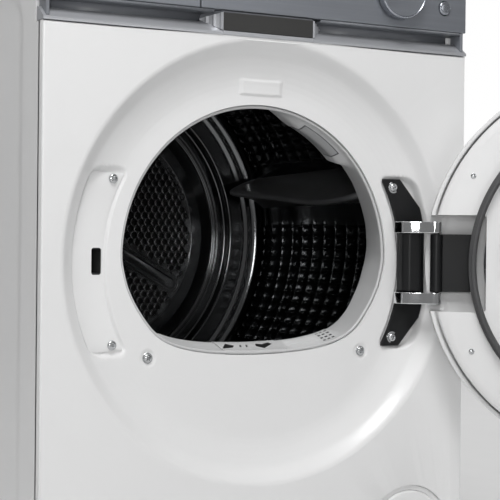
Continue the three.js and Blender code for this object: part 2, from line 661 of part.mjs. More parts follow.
/** Flat belt round the drum and the motor pulley. */
function driveBelt() {
  const loop = (grow) => convexOutline([
    ...arc(0, AXIS_Z, DRUM.radius + grow, 0, 354, 59),
    ...arc(MOTOR.x, MOTOR.z, MOTOR.pulley + grow, 0, 330, 11),
  ]);
  const [y0, y1] = [BELT.front, BELT.front + BELT.width];
  const inner = BELT.clearance;
  return cut(
    prismY(loop(inner + BELT.thickness), y0, y1),
    prismY(loop(inner), y0 - 1, y1 + 1),
  );
}

function compressor() {
  const { x, y, radius, bottom, top } = COMPRESSOR;
  return turnedZ([
    [0, bottom], [radius - 16, bottom], [radius, bottom + 12], [radius, top - 26],
    [radius - 18, top - 6], [0, top],
  ], x, y, ROUND.coarse);
}

/** Duct round both heat exchangers, with a round service port at the front and open at the rear. */
function exchangerHousing() {
  const { left, right, front, rear, bottom, top, wall } = EXCHANGER;
  const outer = box([left, front, bottom], [right, rear, top]);
  const duct = box([left + wall, front + wall, bottom + wall], [right - wall, rear + 1, top - wall]);
  const collar = rodY(SERVICE.coverRadius + 5, FRONT + 4, front + 1, SERVICE.x, SERVICE.z, ROUND.medium);
  const seat = rodY(SERVICE.coverRadius + 1, FRONT, FRONT + 9, SERVICE.x, SERVICE.z, ROUND.medium);
  const port = rodY(SERVICE.portRadius - 1, FRONT, front + 5, SERVICE.x, SERVICE.z, ROUND.medium);
  return cut(join(outer, collar), duct, seat, port);
}

/** Block of thin plates: comb cut from above and joined along its lower edge. */
function finBlock(y0, y1) {
  const left = EXCHANGER.left + EXCHANGER.wall + 2;
  const right = EXCHANGER.right - EXCHANGER.wall - 2;
  const [bottom, top] = [EXCHANGER.bottom + EXCHANGER.wall + 1, EXCHANGER.top - EXCHANGER.wall - 2];
  let block = box([left, y0, bottom], [right, y1, top]);
  const pitch = (right - left) / 9;
  for (let slot = 1; slot < 9; slot += 1) {
    const x = left + slot * pitch;
    block = cut(block, box([x - 3, y0 - 1, bottom + 12], [x + 3, y1 + 1, top + 1]));
  }
  return block;
}

// ---- Door -----------------------------------------------------------------------------------

const PIVOT = [DOOR.pivotX, FRONT - DOOR.pivotForward];

/** Swings a piece modelled in the closed position to the open rest position. */
function swingOpen(body) {
  const data = body.getMesh();
  const geometry = new THREE.BufferGeometry();
  geometry.setAttribute('position', new THREE.BufferAttribute(Float32Array.from(data.vertProperties), 3));
  geometry.setIndex(new THREE.BufferAttribute(Uint32Array.from(data.triVerts), 1));
  geometry.translate(-PIVOT[0], -PIVOT[1], 0);
  geometry.rotateZ(radians(DOOR.open));
  geometry.translate(PIVOT[0], PIVOT[1], 0);
  return solid(geometry);
}

/** Clearance in the door round the hinge. */
const hingeNotch = () => box([176, FRONT - 34, RECESS.z - 62], [262, FRONT + 20, RECESS.z + 62]);

function doorRing() {
  const { outer, window } = DOOR;
  const ring = turnedY([
    [outer, FRONT - 8], [outer, FRONT - 30], [outer - 8, FRONT - 42], [outer - 19, FRONT - 46],
    [window + 6, FRONT - 46], [window, FRONT - 40], [window, FRONT - 36], [outer - 22, FRONT - 36],
    [outer - 10, FRONT - 26], [outer - 6, FRONT - 8], [outer, FRONT - 8],
  ], 0, RECESS.z, ROUND.fine);
  return cut(ring, hingeNotch());
}

function doorWindow() {
  const edge = DOOR.window - 1.5;
  return turnedY([
    [0, FRONT - 48], [120, FRONT - 47], [edge, FRONT - 44], [edge, FRONT - 39],
    [120, FRONT - 42], [0, FRONT - 43],
  ], 0, RECESS.z, ROUND.medium);
}

function doorInnerFrame() {
  const { outer } = DOOR;
  const frame = turnedY([
    [outer - 7.5, FRONT - 7], [outer - 7.5, FRONT + 2], [205, FRONT + 8], [160, FRONT + 8],
    [152, FRONT + 2], [152, FRONT - 34], [157, FRONT - 34], [157, FRONT], [162, FRONT + 3],
    [204, FRONT + 3], [outer - 13, FRONT - 2], [outer - 13, FRONT - 7], [outer - 7.5, FRONT - 7],
  ], 0, RECESS.z, ROUND.fine);
  return cut(frame, hingeNotch());
}

/** Clear bowl that keeps the laundry off the window. */
function doorBowl() {
  return turnedY([
    [0, FRONT + 52], [58, FRONT + 48], [90, FRONT + 37], [106, FRONT + 15], [134, FRONT - 8],
    [146, FRONT - 28], [146, FRONT - 34], [151, FRONT - 34], [151, FRONT - 26], [139, FRONT - 5],
    [111, FRONT + 18], [95, FRONT + 40], [60, FRONT + 52], [0, FRONT + 56],
  ], 0, RECESS.z, ROUND.medium);
}

function doorSeal() {
  const [inner, outer] = [194, 204];
  return turnedY([
    [inner, FRONT + 8.4], [outer, FRONT + 8.4], [outer - 2, FRONT + 20], [inner + 3, FRONT + 22],
    [inner, FRONT + 8.4],
  ], 0, RECESS.z, ROUND.medium);
}

/** Hook on the door's free edge that reaches into the lock. */
function latchHook() {
  const z = RECESS.z + LATCH_SLOT.z;
  const outline = [
    [-222, FRONT + 8.5], [-216, FRONT + 8.5], [-216, FRONT + 40], [-222, FRONT + 44],
  ];
  const hook = prismZ(outline, z - 9, z + 9);
  return cut(hook, box([-230, FRONT + 28, z - 4], [-210, FRONT + 37, z + 4]));
}

/** Door-side hinge plate with its barrel and the pin that both arms turn on. */
function hingeLeaf() {
  const half = HINGE.armZ - HINGE.armHeight / 2 - 1;
  const [x, y] = PIVOT;
  const plate = box([x - 52, y - 9, RECESS.z - half], [x - 4, y - 5, RECESS.z + half]);
  const barrel = rodZ(HINGE.knuckle, RECESS.z - half, RECESS.z + half, x, y, ROUND.coarse);
  const reach = HINGE.armZ + HINGE.armHeight / 2;
  const pin = rodZ(HINGE.pin, RECESS.z - reach, RECESS.z + reach, x, y, ROUND.coarse);
  const web = box([x - 12, y - 9, RECESS.z - half], [x, y - 2, RECESS.z + half]);
  return join(plate, web, barrel, pin);
}

/** Black plate screwed into the pocket on the hinge side. */
function hingeBracket() {
  const back = deep(RECESS.floorDepth + POCKET.depth - 0.3);
  const plate = prismY(pocketOutline(1, 3), deep(RECESS.floorDepth - 6), back);
  const holes = [-1, 1].map((level) =>
    rodY(2.6, FRONT, deep(40), PLATE_SCREW.x, RECESS.z + level * PLATE_SCREW.z, 8));
  const headSeats = [-1, 1].map((level) => rodY(
    PLATE_SCREW.radius + 1.5, FRONT, deep(RECESS.floorDepth - 2), PLATE_SCREW.x,
    RECESS.z + level * PLATE_SCREW.z, ROUND.coarse,
  ));
  return cut(plate, ...holes, ...headSeats);
}

/** Bright arm from the bracket to the pivot, bored for the pin. */
function hingeArm(level) {
  const z = RECESS.z + level * HINGE.armZ;
  const [x, y] = PIVOT;
  const surface = deep(RECESS.floorDepth - 6.4);
  const outline = [
    [x - 40, surface], [x - 34, surface - 12], [x - 6, y - 4], [x + 5, y - 6], [x + 8, y],
    [x + 5, y + 8], [x - 10, y + 16], [x - 20, surface],
  ];
  const [z0, z1] = [z - HINGE.armHeight / 2, z + HINGE.armHeight / 2];
  const arm = join(prismZ(outline, z0, z1), rodZ(HINGE.knuckle, z0, z1, x, y, ROUND.coarse));
  return cut(arm, rodZ(HINGE.pinBore, z0 - 1, z1 + 1, x, y, ROUND.coarse));
}

/** Lock behind the slot, hollow where the hook goes in. */
function doorLock() {
  const z = RECESS.z + LATCH_SLOT.z;
  const front = deep(RECESS.floorDepth + POCKET.depth + FRONT_PANEL.sheet + 0.5);
  const body = box([-232, front, z - 30], [-206, front + 34, z + 30]);
  return cut(body, box([-226.5, front - 1, z - 14], [-211.5, front + 26, z + 14]));
}

// ---- Assembly -------------------------------------------------------------------------------

const footNames = ['foot_front_left', 'foot_front_right', 'foot_rear_left', 'foot_rear_right'];
const pocketFloor = deep(RECESS.floorDepth + 0.4);
const bracketSeat = deep(RECESS.floorDepth - 2);
const recessFloor = deep(RECESS.floorDepth);

const pieces = [
  piece('left_side_panel', sidePanel(-1), COLOUR.white),
  piece('right_side_panel', sidePanel(1), COLOUR.white),
  piece('rear_panel', rearPanel(), COLOUR.steel),
  piece('rear_duct_cover', rearDuctCover(), COLOUR.steel),
  piece('worktop', worktop(), COLOUR.white),
  piece('front_panel', frontPanel(), COLOUR.white),
  piece('base_tray', baseTray(), COLOUR.tray),
  ...footPlaces().map((place, i) => piece(footNames[i], foot(place), COLOUR.rubber)),
  piece('service_cover', serviceCover(), COLOUR.white),
  piece('latch_plate', latchPlate(), COLOUR.white),
  piece('latch_screw_upper', screw(-PLATE_SCREW.x, PLATE_SCREW.z, pocketFloor, 6), COLOUR.screw),
  piece('latch_screw_lower', screw(-PLATE_SCREW.x, -PLATE_SCREW.z, pocketFloor, 6), COLOUR.screw),
  piece('hinge_screw_upper', screw(PLATE_SCREW.x, PLATE_SCREW.z, bracketSeat, 6), COLOUR.screw),
  piece('hinge_screw_lower', screw(PLATE_SCREW.x, -PLATE_SCREW.z, bracketSeat, 6), COLOUR.screw),
  piece('panel_screw_left', screw(-PANEL_SCREW.x, PANEL_SCREW.z, recessFloor, 5), COLOUR.screw),
  piece('panel_screw_right', screw(PANEL_SCREW.x, PANEL_SCREW.z, recessFloor, 5), COLOUR.screw),
  piece('fascia', fascia(), COLOUR.fascia),
  piece('grip_rail', gripRail(), COLOUR.grip),
  piece('lower_trim', lowerTrim(), COLOUR.trim),
  piece('badge_blank', badgeBlank(), COLOUR.badge),
  piece('programme_knob', programmeKnob(), COLOUR.fascia),
  piece('control_board', controlBoard(), COLOUR.board),
  piece('start_button', pushButton(BUTTON.startZ), COLOUR.lightGrey),
  piece('option_button', pushButton(BUTTON.optionZ), COLOUR.lightGrey),
  piece('drawer_front', drawerFront(), COLOUR.fascia),
  piece('water_tank', waterTank(), COLOUR.lightGrey),
  piece('drawer_housing', drawerHousing(), COLOUR.grey),
  piece('front_tunnel', frontTunnel(), COLOUR.grey),
  piece('lamp_cover', lampCover(), COLOUR.clear),
  piece('lint_filter', lintFilter(), COLOUR.lightGrey),
  piece('drum_shell', drumShell(), COLOUR.drum),
  piece('drum_back', drumBack(), COLOUR.drum),
  ...LIFTER.angles.map((angle, i) => piece(`lifter_${'abc'[i]}`, lifter(angle), COLOUR.drum)),
  piece('rear_bearing', rearBearing(), COLOUR.steel),
  piece('support_roller_left', supportRoller(-1), COLOUR.rubber),
  piece('support_roller_right', supportRoller(1), COLOUR.rubber),
  piece('motor', motor(), COLOUR.motor),
  piece('motor_pulley', motorPulley(), COLOUR.steel),
  piece('fan_wheel', fanWheel(), COLOUR.grey),
  piece('drive_belt', driveBelt(), COLOUR.black),
  piece('compressor', compressor(), COLOUR.black),
  piece('evaporator', finBlock(-170, -70), COLOUR.steel),
  piece('condenser', finBlock(-30, 120), COLOUR.copper),
  piece('exchanger_housing', exchangerHousing(), COLOUR.grey),
  piece('door_ring', swingOpen(doorRing()), COLOUR.white),
  piece('door_window', swingOpen(doorWindow()), COLOUR.glass),
  piece('door_inner_frame', swingOpen(doorInnerFrame()), COLOUR.whitePlastic),
  piece('door_bowl', swingOpen(doorBowl()), COLOUR.clear),
  piece('door_seal', swingOpen(doorSeal()), COLOUR.rubber),
  piece('latch_hook', swingOpen(latchHook()), COLOUR.steel),
  piece('hinge_leaf', swingOpen(hingeLeaf()), COLOUR.black),
  piece('hinge_bracket', hingeBracket(), COLOUR.black),
  piece('hinge_arm_upper', hingeArm(1), COLOUR.chrome),
  piece('hinge_arm_lower', hingeArm(-1), COLOUR.chrome),
  piece('door_lock', doorLock(), COLOUR.black),
];

const dryer = new THREE.Group();
dryer.name = 'clothes_dryer';
dryer.add(...pieces);

export default dryer;
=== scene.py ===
"""Front-loading clothes dryer with its door open: the visible surfaces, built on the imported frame.

Lengths are written in millimetres in the frame's own axes (+X right, +Y rear, +Z up) and
turned into metres where a mesh is made.
"""
import math

import bmesh
import bpy
import numpy as np
from mathutils import Matrix, Vector
from mathutils.geometry import delaunay_2d_cdt


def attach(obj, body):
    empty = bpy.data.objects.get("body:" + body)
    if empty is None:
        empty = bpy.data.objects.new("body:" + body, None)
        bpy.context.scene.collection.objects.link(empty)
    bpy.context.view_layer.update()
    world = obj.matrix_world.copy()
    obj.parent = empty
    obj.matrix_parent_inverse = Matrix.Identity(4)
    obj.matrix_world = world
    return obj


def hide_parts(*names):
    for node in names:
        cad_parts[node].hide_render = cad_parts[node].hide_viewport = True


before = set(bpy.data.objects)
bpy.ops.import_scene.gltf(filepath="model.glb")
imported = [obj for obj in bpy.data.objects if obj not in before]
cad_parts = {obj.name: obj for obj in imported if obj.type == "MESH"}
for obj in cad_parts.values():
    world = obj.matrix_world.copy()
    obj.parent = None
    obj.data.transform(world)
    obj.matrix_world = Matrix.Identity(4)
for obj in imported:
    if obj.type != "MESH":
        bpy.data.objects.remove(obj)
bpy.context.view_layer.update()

# ---- Driving dimensions, millimetres ----
MM = 0.001
HALF_WIDTH = 297.5
FRONT = -305.0
REAR = 305.0
FLOOR_Z = -15.0
PANEL_BOTTOM = 6.0
PANEL_TOP = 703.0
WORKTOP_BOTTOM = 815.0
WORKTOP_TOP = 830.0
DISH_Z = 430.0
DISH_FLOOR = 24.6
DISH_OUTER = 275.0
AXIS_Z = 463.0
DRUM_RADIUS = 283.0
SERVICE = (214.0, 75.0)
SERVICE_HOLE = 67.0
PIVOT = (238.0, -325.0)
DOOR_OPEN = 148.0

# ---- Mesh helpers ----


def deep(depth):
    """Y of a point that lies this far behind the front panel's plane."""
    return FRONT + depth


def deep_line(line):
    """Points whose second number is a depth behind the front panel's plane, with Y in its place."""
    return [(across, deep(depth)) for across, depth in line]


def linked(name, data):
    """Object in the scene for a mesh, a lamp or a camera."""
    obj = bpy.data.objects.new(name, data)
    bpy.context.scene.collection.objects.link(obj)
    return obj


def new_object(name, verts, faces):
    """Object from vertices in millimetres."""
    mesh = bpy.data.meshes.new(name)
    mesh.from_pydata((np.asarray(verts, dtype=float) * MM).tolist(), [], faces)
    return linked(name, mesh)


def tidy(obj, sharp=35.0, merge=0.02):
    """Welds, turns the faces outwards, and shades smooth with sharp edges kept."""
    bm = bmesh.new()
    bm.from_mesh(obj.data)
    bmesh.ops.remove_doubles(bm, verts=bm.verts, dist=merge * MM)
    bmesh.ops.recalc_face_normals(bm, faces=bm.faces)
    limit = math.radians(sharp)
    for face in bm.faces:
        face.smooth = True
    for edge in bm.edges:
        if len(edge.link_faces) == 2 and edge.calc_face_angle(0.0) > limit:
            edge.smooth = False
    bm.to_mesh(obj.data)
    bm.free()
    return obj


def grid_faces(rows, columns, wrap=False):
    """Quads of a grid of points stored row by row; wrap closes every row into a ring."""
    faces = []
    span = columns if wrap else columns - 1
    for row in range(rows - 1):
        for col in range(span):
            nxt = (col + 1) % columns
            faces.append((row * columns + col, row * columns + nxt,
                          (row + 1) * columns + nxt, (row + 1) * columns + col))
    return faces


def loft(name, rings, sharp=35.0, caps=False):
    """Skin over closed rings of equal length."""
    rings = [np.asarray(ring) for ring in rings]
    count = len(rings[0])
    faces = grid_faces(len(rings), count, wrap=True)
    if caps:
        faces.append(tuple(range(count))[::-1])
        faces.append(tuple(range((len(rings) - 1) * count, len(rings) * count)))
    return tidy(new_object(name, np.concatenate(rings), faces), sharp)


def full_turn(steps):
    """Even angles round a circle."""
    return np.linspace(0.0, 2.0 * math.pi, steps, endpoint=False)


def circle(radius, y, angle, x=0.0, z=AXIS_Z):
    """Points at a radius from an axis along Y; radius and y may differ from angle to angle."""
    flat = np.broadcast_to(y, np.shape(angle))
    return np.stack([x + radius * np.cos(angle), flat, z + radius * np.sin(angle)], axis=-1)


def turned(name, profile, x, z, steps=96, sharp=35.0, axis="Y"):
    """Body of revolution about a line along Y or Z; the profile lists [radius, position]."""
    order = [0, 1, 2] if axis == "Y" else [0, 2, 1]
    rings = [circle(max(radius, 0.001), along, full_turn(steps), x, z)[:, order]
             for radius, along in profile]
    return loft(name, rings, sharp)


def rounded(profile, radius, steps=4):
    """Polyline with its inner corners replaced by arcs."""
    points = [np.asarray(p, dtype=float) for p in profile]
    out = [points[0]]
    for before, corner, after in zip(points, points[1:], points[2:]):
        to_before, to_after = before - corner, after - corner
        reach = min(radius, np.linalg.norm(to_before) * 0.45, np.linalg.norm(to_after) * 0.45)
        start = corner + to_before / np.linalg.norm(to_before) * reach
        end = corner + to_after / np.linalg.norm(to_after) * reach
        for step in range(steps + 1):
            t = step / steps
            out.append((1 - t) ** 2 * start + 2 * t * (1 - t) * corner + t * t * end)
    out.append(points[-1])
    return out


def prism(name, outline, y0, y1, bevel=1.0, segments=3, axis="Y"):
    """Bevelled prism of an [x, z] outline along Y, or of an [x, y] outline along Z."""
    count = len(outline)
    flat = np.asarray(outline, dtype=float)
    rings = []
    for level in (y0, y1):
        line = np.full(count, float(level))
        order = [flat[:, 0], line, flat[:, 1]] if axis == "Y" else [flat[:, 0], flat[:, 1], line]
        rings.append(np.stack(order, axis=1))
    faces = grid_faces(2, count, wrap=True)
    faces += [tuple(range(count))[::-1], tuple(range(count, 2 * count))]
    obj = new_object(name, np.concatenate(rings), faces)
    return soften(obj, bevel, segments)


def soften(obj, bevel=1.0, segments=3, angle=28.0):
    """Rounds the edges of a hard-edged mesh and weights its normals."""
    bm = bmesh.new()
    bm.from_mesh(obj.data)
    bmesh.ops.remove_doubles(bm, verts=bm.verts, dist=0.01 * MM)
    bmesh.ops.recalc_face_normals(bm, faces=bm.faces)
    limit = math.radians(angle)
    edges = [e for e in bm.edges if len(e.link_faces) == 2 and e.calc_face_angle(0.0) > limit]
    if bevel > 0.0 and edges:
        bmesh.ops.bevel(bm, geom=edges, offset=bevel * MM, segments=segments, profile=0.5,
                        affect="EDGES", clamp_overlap=True)
    for face in bm.faces:
        face.smooth = True
    bm.to_mesh(obj.data)
    bm.free()
    return weigh_normals(obj)


def weigh_normals(obj):
    """Shades large faces flat up to their rounded edges."""
    weighted = obj.modifiers.new("normals", "WEIGHTED_NORMAL")
    weighted.weight = 80
    return obj


def block(name, low, high, bevel=1.0, segments=3):
    """Rounded box between two corners."""
    (x0, y0, z0), (x1, y1, z1) = low, high
    return prism(name, [(x0, z0), (x1, z0), (x1, z1), (x0, z1)], y0, y1, bevel, segments)


def rounded_rectangle(x0, z0, x1, z1, radius, steps=6):
    """Outline of a rectangle with round corners, anticlockwise."""
    corners = ((x1 - radius, z0 + radius, -90), (x1 - radius, z1 - radius, 0),
               (x0 + radius, z1 - radius, 90), (x0 + radius, z0 + radius, 180))
    points = []
    for cx, cz, start in corners:
        for step in range(steps + 1):
            angle = math.radians(start + 90.0 * step / steps)
            points.append((cx + radius * math.cos(angle), cz + radius * math.sin(angle)))
    return points


def carve(obj, *cutters):
    """Cuts other objects out of one, and removes them."""
    for piece in (obj, *cutters):
        bake(piece)
    for cutter in cutters:
        cut = obj.modifiers.new("cut", "BOOLEAN")
        cut.operation = "DIFFERENCE"
        cut.solver = "EXACT"
        cut.object = cutter
    bake(obj)
    for cutter in cutters:
        bpy.data.objects.remove(cutter)
    return obj


def bake(obj):
    """Applies every modifier of an object to its mesh."""
    graph = bpy.context.evaluated_depsgraph_get()
    mesh = bpy.data.meshes.new_from_object(obj.evaluated_get(graph))
    obj.modifiers.clear()
    obj.data = mesh
    return obj


def thicken(obj, thickness, offset=-1.0):
    """Gives a sheet its thickness."""
    wall = obj.modifiers.new("wall", "SOLIDIFY")
    wall.thickness = thickness * MM
    wall.offset = offset
    return obj


def joined(name, *parts):
    """One object out of several, modifiers applied."""
    bm = bmesh.new()
    for part in parts:
        bake(part)
        bm.from_mesh(part.data)
        bpy.data.objects.remove(part)
    mesh = bpy.data.meshes.new(name)
    bm.to_mesh(mesh)
    bm.free()
    return linked(name, mesh)


def smoothstep(value):
    """Soft step from 0 to 1."""
    t = np.clip(value, 0.0, 1.0)
    return t * t * (3.0 - 2.0 * t)


def swing(obj):
    """Turns a piece made in the closed position to the open rest position of the door."""
    turn = Matrix.Rotation(math.radians(DOOR_OPEN), 4, "Z")
    pivot = Vector((PIVOT[0] * MM, PIVOT[1] * MM, 0.0))
    obj.data.transform(Matrix.Translation(pivot) @ turn @ Matrix.Translation(-pivot))
    return obj


def place(obj, body, material, replaces=()):
    """Gives a piece its material and its body, and hides the CAD nodes it stands for."""
    obj.data.materials.clear()
    obj.data.materials.append(material)
    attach(obj, body)
    if replaces:
        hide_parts(*replaces)
    return obj


# ---- Materials ----


def material(name, colour, roughness=0.4, metallic=0.0, vary=0.03, vary_scale=12.0, bump=0.1,
             bump_scale=300.0, stretch=(1.0, 1.0, 1.0), rough_vary=0.05, coat=0.0, specular=0.5,
             transmission=0.0, bump_distance=0.0002):
    """Principled material with cloudy colour, uneven gloss and fine surface relief."""
    mat = bpy.data.materials.new(name)
    mat.use_nodes = True
    nodes, links = mat.node_tree.nodes, mat.node_tree.links
    shader = nodes["Principled BSDF"]
    shader.inputs["Metallic"].default_value = metallic
    shader.inputs["Specular IOR Level"].default_value = specular
    shader.inputs["Coat Weight"].default_value = coat
    shader.inputs["Coat Roughness"].default_value = 0.08
    shader.inputs["Transmission Weight"].default_value = transmission
    place_node = nodes.new("ShaderNodeTexCoord")
    mapping = nodes.new("ShaderNodeMapping")
    mapping.inputs["Scale"].default_value = stretch
    links.new(place_node.outputs["Object"], mapping.inputs["Vector"])

    cloud = nodes.new("ShaderNodeTexNoise")
    cloud.inputs["Scale"].default_value = vary_scale
    cloud.inputs["Detail"].default_value = 5.0
    links.new(mapping.outputs["Vector"], cloud.inputs["Vector"])
    ramp = nodes.new("ShaderNodeValToRGB")
    low = [max(c * (1.0 - vary), 0.0) for c in colour]
    high = [min(c * (1.0 + vary), 1.0) for c in colour]
    ramp.color_ramp.elements[0].position = 0.3
    ramp.color_ramp.elements[0].color = (*low, 1.0)
    ramp.color_ramp.elements[1].position = 0.7
    ramp.color_ramp.elements[1].color = (*high, 1.0)
    links.new(cloud.outputs["Fac"], ramp.inputs["Fac"])
    links.new(ramp.outputs["Color"], shader.inputs["Base Color"])

    gloss = nodes.new("ShaderNodeMapRange")
    gloss.inputs["To Min"].default_value = max(roughness - rough_vary, 0.02)
    gloss.inputs["To Max"].default_value = min(roughness + rough_vary, 1.0)
    links.new(cloud.outputs["Fac"], gloss.inputs["Value"])
    links.new(gloss.outputs["Result"], shader.inputs["Roughness"])

    grain = nodes.new("ShaderNodeTexNoise")
    grain.inputs["Scale"].default_value = bump_scale
    grain.inputs["Detail"].default_value = 3.0
    links.new(mapping.outputs["Vector"], grain.inputs["Vector"])
    relief = nodes.new("ShaderNodeBump")
    relief.inputs["Strength"].default_value = bump
    relief.inputs["Distance"].default_value = bump_distance
    links.new(grain.outputs["Fac"], relief.inputs["Height"])
    links.new(relief.outputs["Normal"], shader.inputs["Normal"])
    return mat


def brushed(name, colour, roughness, metallic, along, vary=0.08):
    """Metal with fine parallel brush lines along one axis."""
    stretch = [1.0, 1.0, 1.0]
    stretch[along] = 0.02
    return material(name, colour, roughness, metallic, vary=vary, vary_scale=220.0, bump=0.18,
                    bump_scale=900.0, stretch=tuple(stretch), rough_vary=0.08,
                    bump_distance=0.0001)


def spangled(name):
    """Zinc-coated sheet with its crystal pattern."""
    mat = material(name, (0.55, 0.56, 0.57), 0.42, 1.0, vary=0.04, vary_scale=30.0, bump=0.05)
    nodes, links = mat.node_tree.nodes, mat.node_tree.links
    cells = nodes.new("ShaderNodeTexVoronoi")
    cells.inputs["Scale"].default_value = 150.0
    links.new(nodes["Mapping"].outputs["Vector"], cells.inputs["Vector"])
    mix = nodes.new("ShaderNodeMix")
    mix.data_type = "RGBA"
    mix.blend_type = "OVERLAY"
    mix.inputs["Factor"].default_value = 0.12
    links.new(nodes["Color Ramp"].outputs["Color"], mix.inputs["A"])
    links.new(cells.outputs["Color"], mix.inputs["B"])
    grey = nodes.new("ShaderNodeHueSaturation")
    grey.inputs["Saturation"].default_value = 0.08
    links.new(mix.outputs["Result"], grey.inputs["Color"])
    links.new(grey.outputs["Color"], nodes["Principled BSDF"].inputs["Base Color"])
    return mat


WHITE = material("white_enamel", (0.80, 0.80, 0.80), 0.38, vary=0.006, vary_scale=6.0, bump=0.05,
                 bump_scale=420.0, coat=0.15, rough_vary=0.04)
WHITE_PLASTIC = material("white_moulding", (0.78, 0.78, 0.78), 0.42, vary=0.008, bump=0.06,
                         bump_scale=900.0)
FASCIA = brushed("fascia_brushed", (0.27, 0.285, 0.315), 0.4, 0.7, 0, vary=0.05)
KNOB_FACE = brushed("knob_brushed", (0.27, 0.285, 0.315), 0.36, 0.7, 0, vary=0.05)
KNOB_RIM = brushed("knob_rim", (0.4, 0.42, 0.46), 0.25, 0.9, 1, vary=0.05)
TRIM = brushed("trim_satin", (0.50, 0.51, 0.535), 0.4, 0.55, 0, vary=0.05)
DARK = material("dark_gloss", (0.022, 0.023, 0.026), 0.28, vary=0.1, bump=0.05, coat=0.2)
GRIP = material("grip_dark", (0.19, 0.2, 0.22), 0.36, vary=0.1, bump=0.12, bump_scale=1200.0)
BADGE = material("badge_dark", (0.032, 0.032, 0.031), 0.45, vary=0.05, bump=0.08, bump_scale=1400.0)
GREY = material("grey_moulding", (0.42, 0.425, 0.43), 0.5, vary=0.02, bump=0.16, bump_scale=1500.0)
PALE = material("pale_moulding", (0.60, 0.603, 0.606), 0.48, vary=0.02, bump=0.14, bump_scale=1500.0)
TRAY = material("tray_moulding", (0.08, 0.083, 0.09), 0.6, vary=0.08, bump=0.25, bump_scale=900.0)
RUBBER = material("rubber", (0.03, 0.03, 0.031), 0.7, vary=0.15, bump=0.25, bump_scale=700.0)
SEAL = material("seal_rubber", (0.07, 0.07, 0.072), 0.6, vary=0.1, bump=0.2, bump_scale=700.0)
DRUM = material("drum_steel", (0.15, 0.153, 0.157), 0.14, 1.0, vary=0.12, vary_scale=14.0,
                bump=0.05, bump_scale=260.0, rough_vary=0.05)
# The disc's steel is a lighter copy of the drum steel: painted light on the hole rims and the spokes.
DISC_LIT = material("disc_steel_painted_light", (0.34, 0.345, 0.35), 0.2, 1.0, vary=0.12, vary_scale=14.0, bump=0.05,
                bump_scale=260.0, rough_vary=0.04)
# The wall's steel is a darker copy of the drum steel: painted shade that dims the key light's reflections on
# the lower pillows.
DRUM_WALL_SHADED = material("drum_wall_steel_painted_shade", (0.085, 0.087, 0.09), 0.12, 1.0, vary=0.12, vary_scale=14.0,
                     bump=0.05, bump_scale=260.0, rough_vary=0.04)
LIFTER = material("lifter_gloss", (0.12, 0.122, 0.126), 0.36, vary=0.1, bump=0.05, bump_scale=500.0,
                  coat=0.1)
CHROME = material("hinge_chrome", (0.82, 0.83, 0.84), 0.09, 1.0, vary=0.02, bump=0.02,
                  rough_vary=0.03)
ZINC = material("screw_zinc", (0.55, 0.56, 0.57), 0.24, 1.0, vary=0.08, bump=0.06)
BLACK_METAL = material("hinge_black", (0.008, 0.0083, 0.009), 0.38, vary=0.1, bump=0.1,
                       bump_scale=900.0, specular=0.3)
SHEET = spangled("galvanised_sheet")
GLASS = material("window_dark", (0.012, 0.013, 0.015), 0.06, vary=0.05, bump=0.0, coat=0.6,
                 rough_vary=0.02)
BOWL = material("bowl_clear", (0.86, 0.88, 0.89), 0.05, vary=0.01, bump=0.01, transmission=1.0,
                rough_vary=0.02)
LENS = material("lamp_lens", (0.42, 0.425, 0.43), 0.3, vary=0.02, bump=0.1, bump_scale=1200.0)
BOARD = material("circuit_board", (0.02, 0.12, 0.05), 0.4, vary=0.2, vary_scale=120.0, bump=0.2)
MOTOR = material("motor_paint", (0.06, 0.062, 0.066), 0.5, 0.3, vary=0.15, bump=0.25)
FIN = brushed("fin_aluminium", (0.6, 0.61, 0.62), 0.35, 1.0, 2)
STEEL = brushed("machined_steel", (0.5, 0.51, 0.52), 0.3, 1.0, 1)
# Near-black painted shade: the plates behind the latch slot, the sill and handle slots and the perforated
# disc stand in for the shade there.
PAINTED_SHADE_BLACK = material("painted_shade_black", (0.004, 0.004, 0.004), 0.7, vary=0.1, bump=0.1)

# ---- The loading hole's outline ----


def opening_curve(count=480):
    """Points [x, z] round the D-shaped loading hole, about the dish's centre, and their normals."""
    radius, rise = 188.6, 5.8
    arc = [(radius * math.cos(math.radians(a)), rise + radius * math.sin(math.radians(a)))
           for a in range(-2, 183, 4)]
    corner = [(-186, -11), (-181, -31), (-170, -53), (-156, -73), (-145, -86), (-130, -96),
              (-112, -103), (-95, -107), (-70, -111), (-35, -113.5), (0, -114.4)]
    points = arc + corner + [(-x, z) for x, z in reversed(corner[:-1])]
    loop = np.array(points + points[:1], dtype=float)
    length = np.concatenate([[0.0], np.cumsum(np.hypot(*np.diff(loop, axis=0).T))])
    even = np.linspace(0.0, length[-1], count, endpoint=False)
    line = np.stack([np.interp(even, length, loop[:, k]) for k in range(2)], axis=1)
    step = length[-1] / count
    frequency = np.fft.fftfreq(count, d=step)
    smooth = np.exp(-0.5 * (2.0 * math.pi * frequency * 7.0) ** 2)
    line = np.stack([np.fft.ifft(np.fft.fft(line[:, k]) * smooth).real for k in range(2)], axis=1)
    along = np.roll(line, -1, axis=0) - np.roll(line, 1, axis=0)
    along /= np.linalg.norm(along, axis=1, keepdims=True)
    normal = np.stack([along[:, 1], -along[:, 0]], axis=1)
    return line, normal


CURVE, CURVE_NORMAL = opening_curve()

# ---- Front panel ----
DISH_PROFILE = np.array([
    (0, DISH_FLOOR), (212, DISH_FLOOR), (219, 24.3), (226, 23.4), (234, 21.8),
    (243, 19.4), (251, 16.8), (254.5, 15.2), (257, 13.3), (260, 10.6), (265, 5.6),
    (268, 2.7), (270, 1.2), (272, 0.4), (DISH_OUTER, 0), (400, 0),
])
POCKET_DEPTH = 27.6
LATCH_SLOT = (-225.3, DISH_Z - 15.1, -212.7, DISH_Z + 16.5)
PANEL_SCREW = (151.8, -114.5)


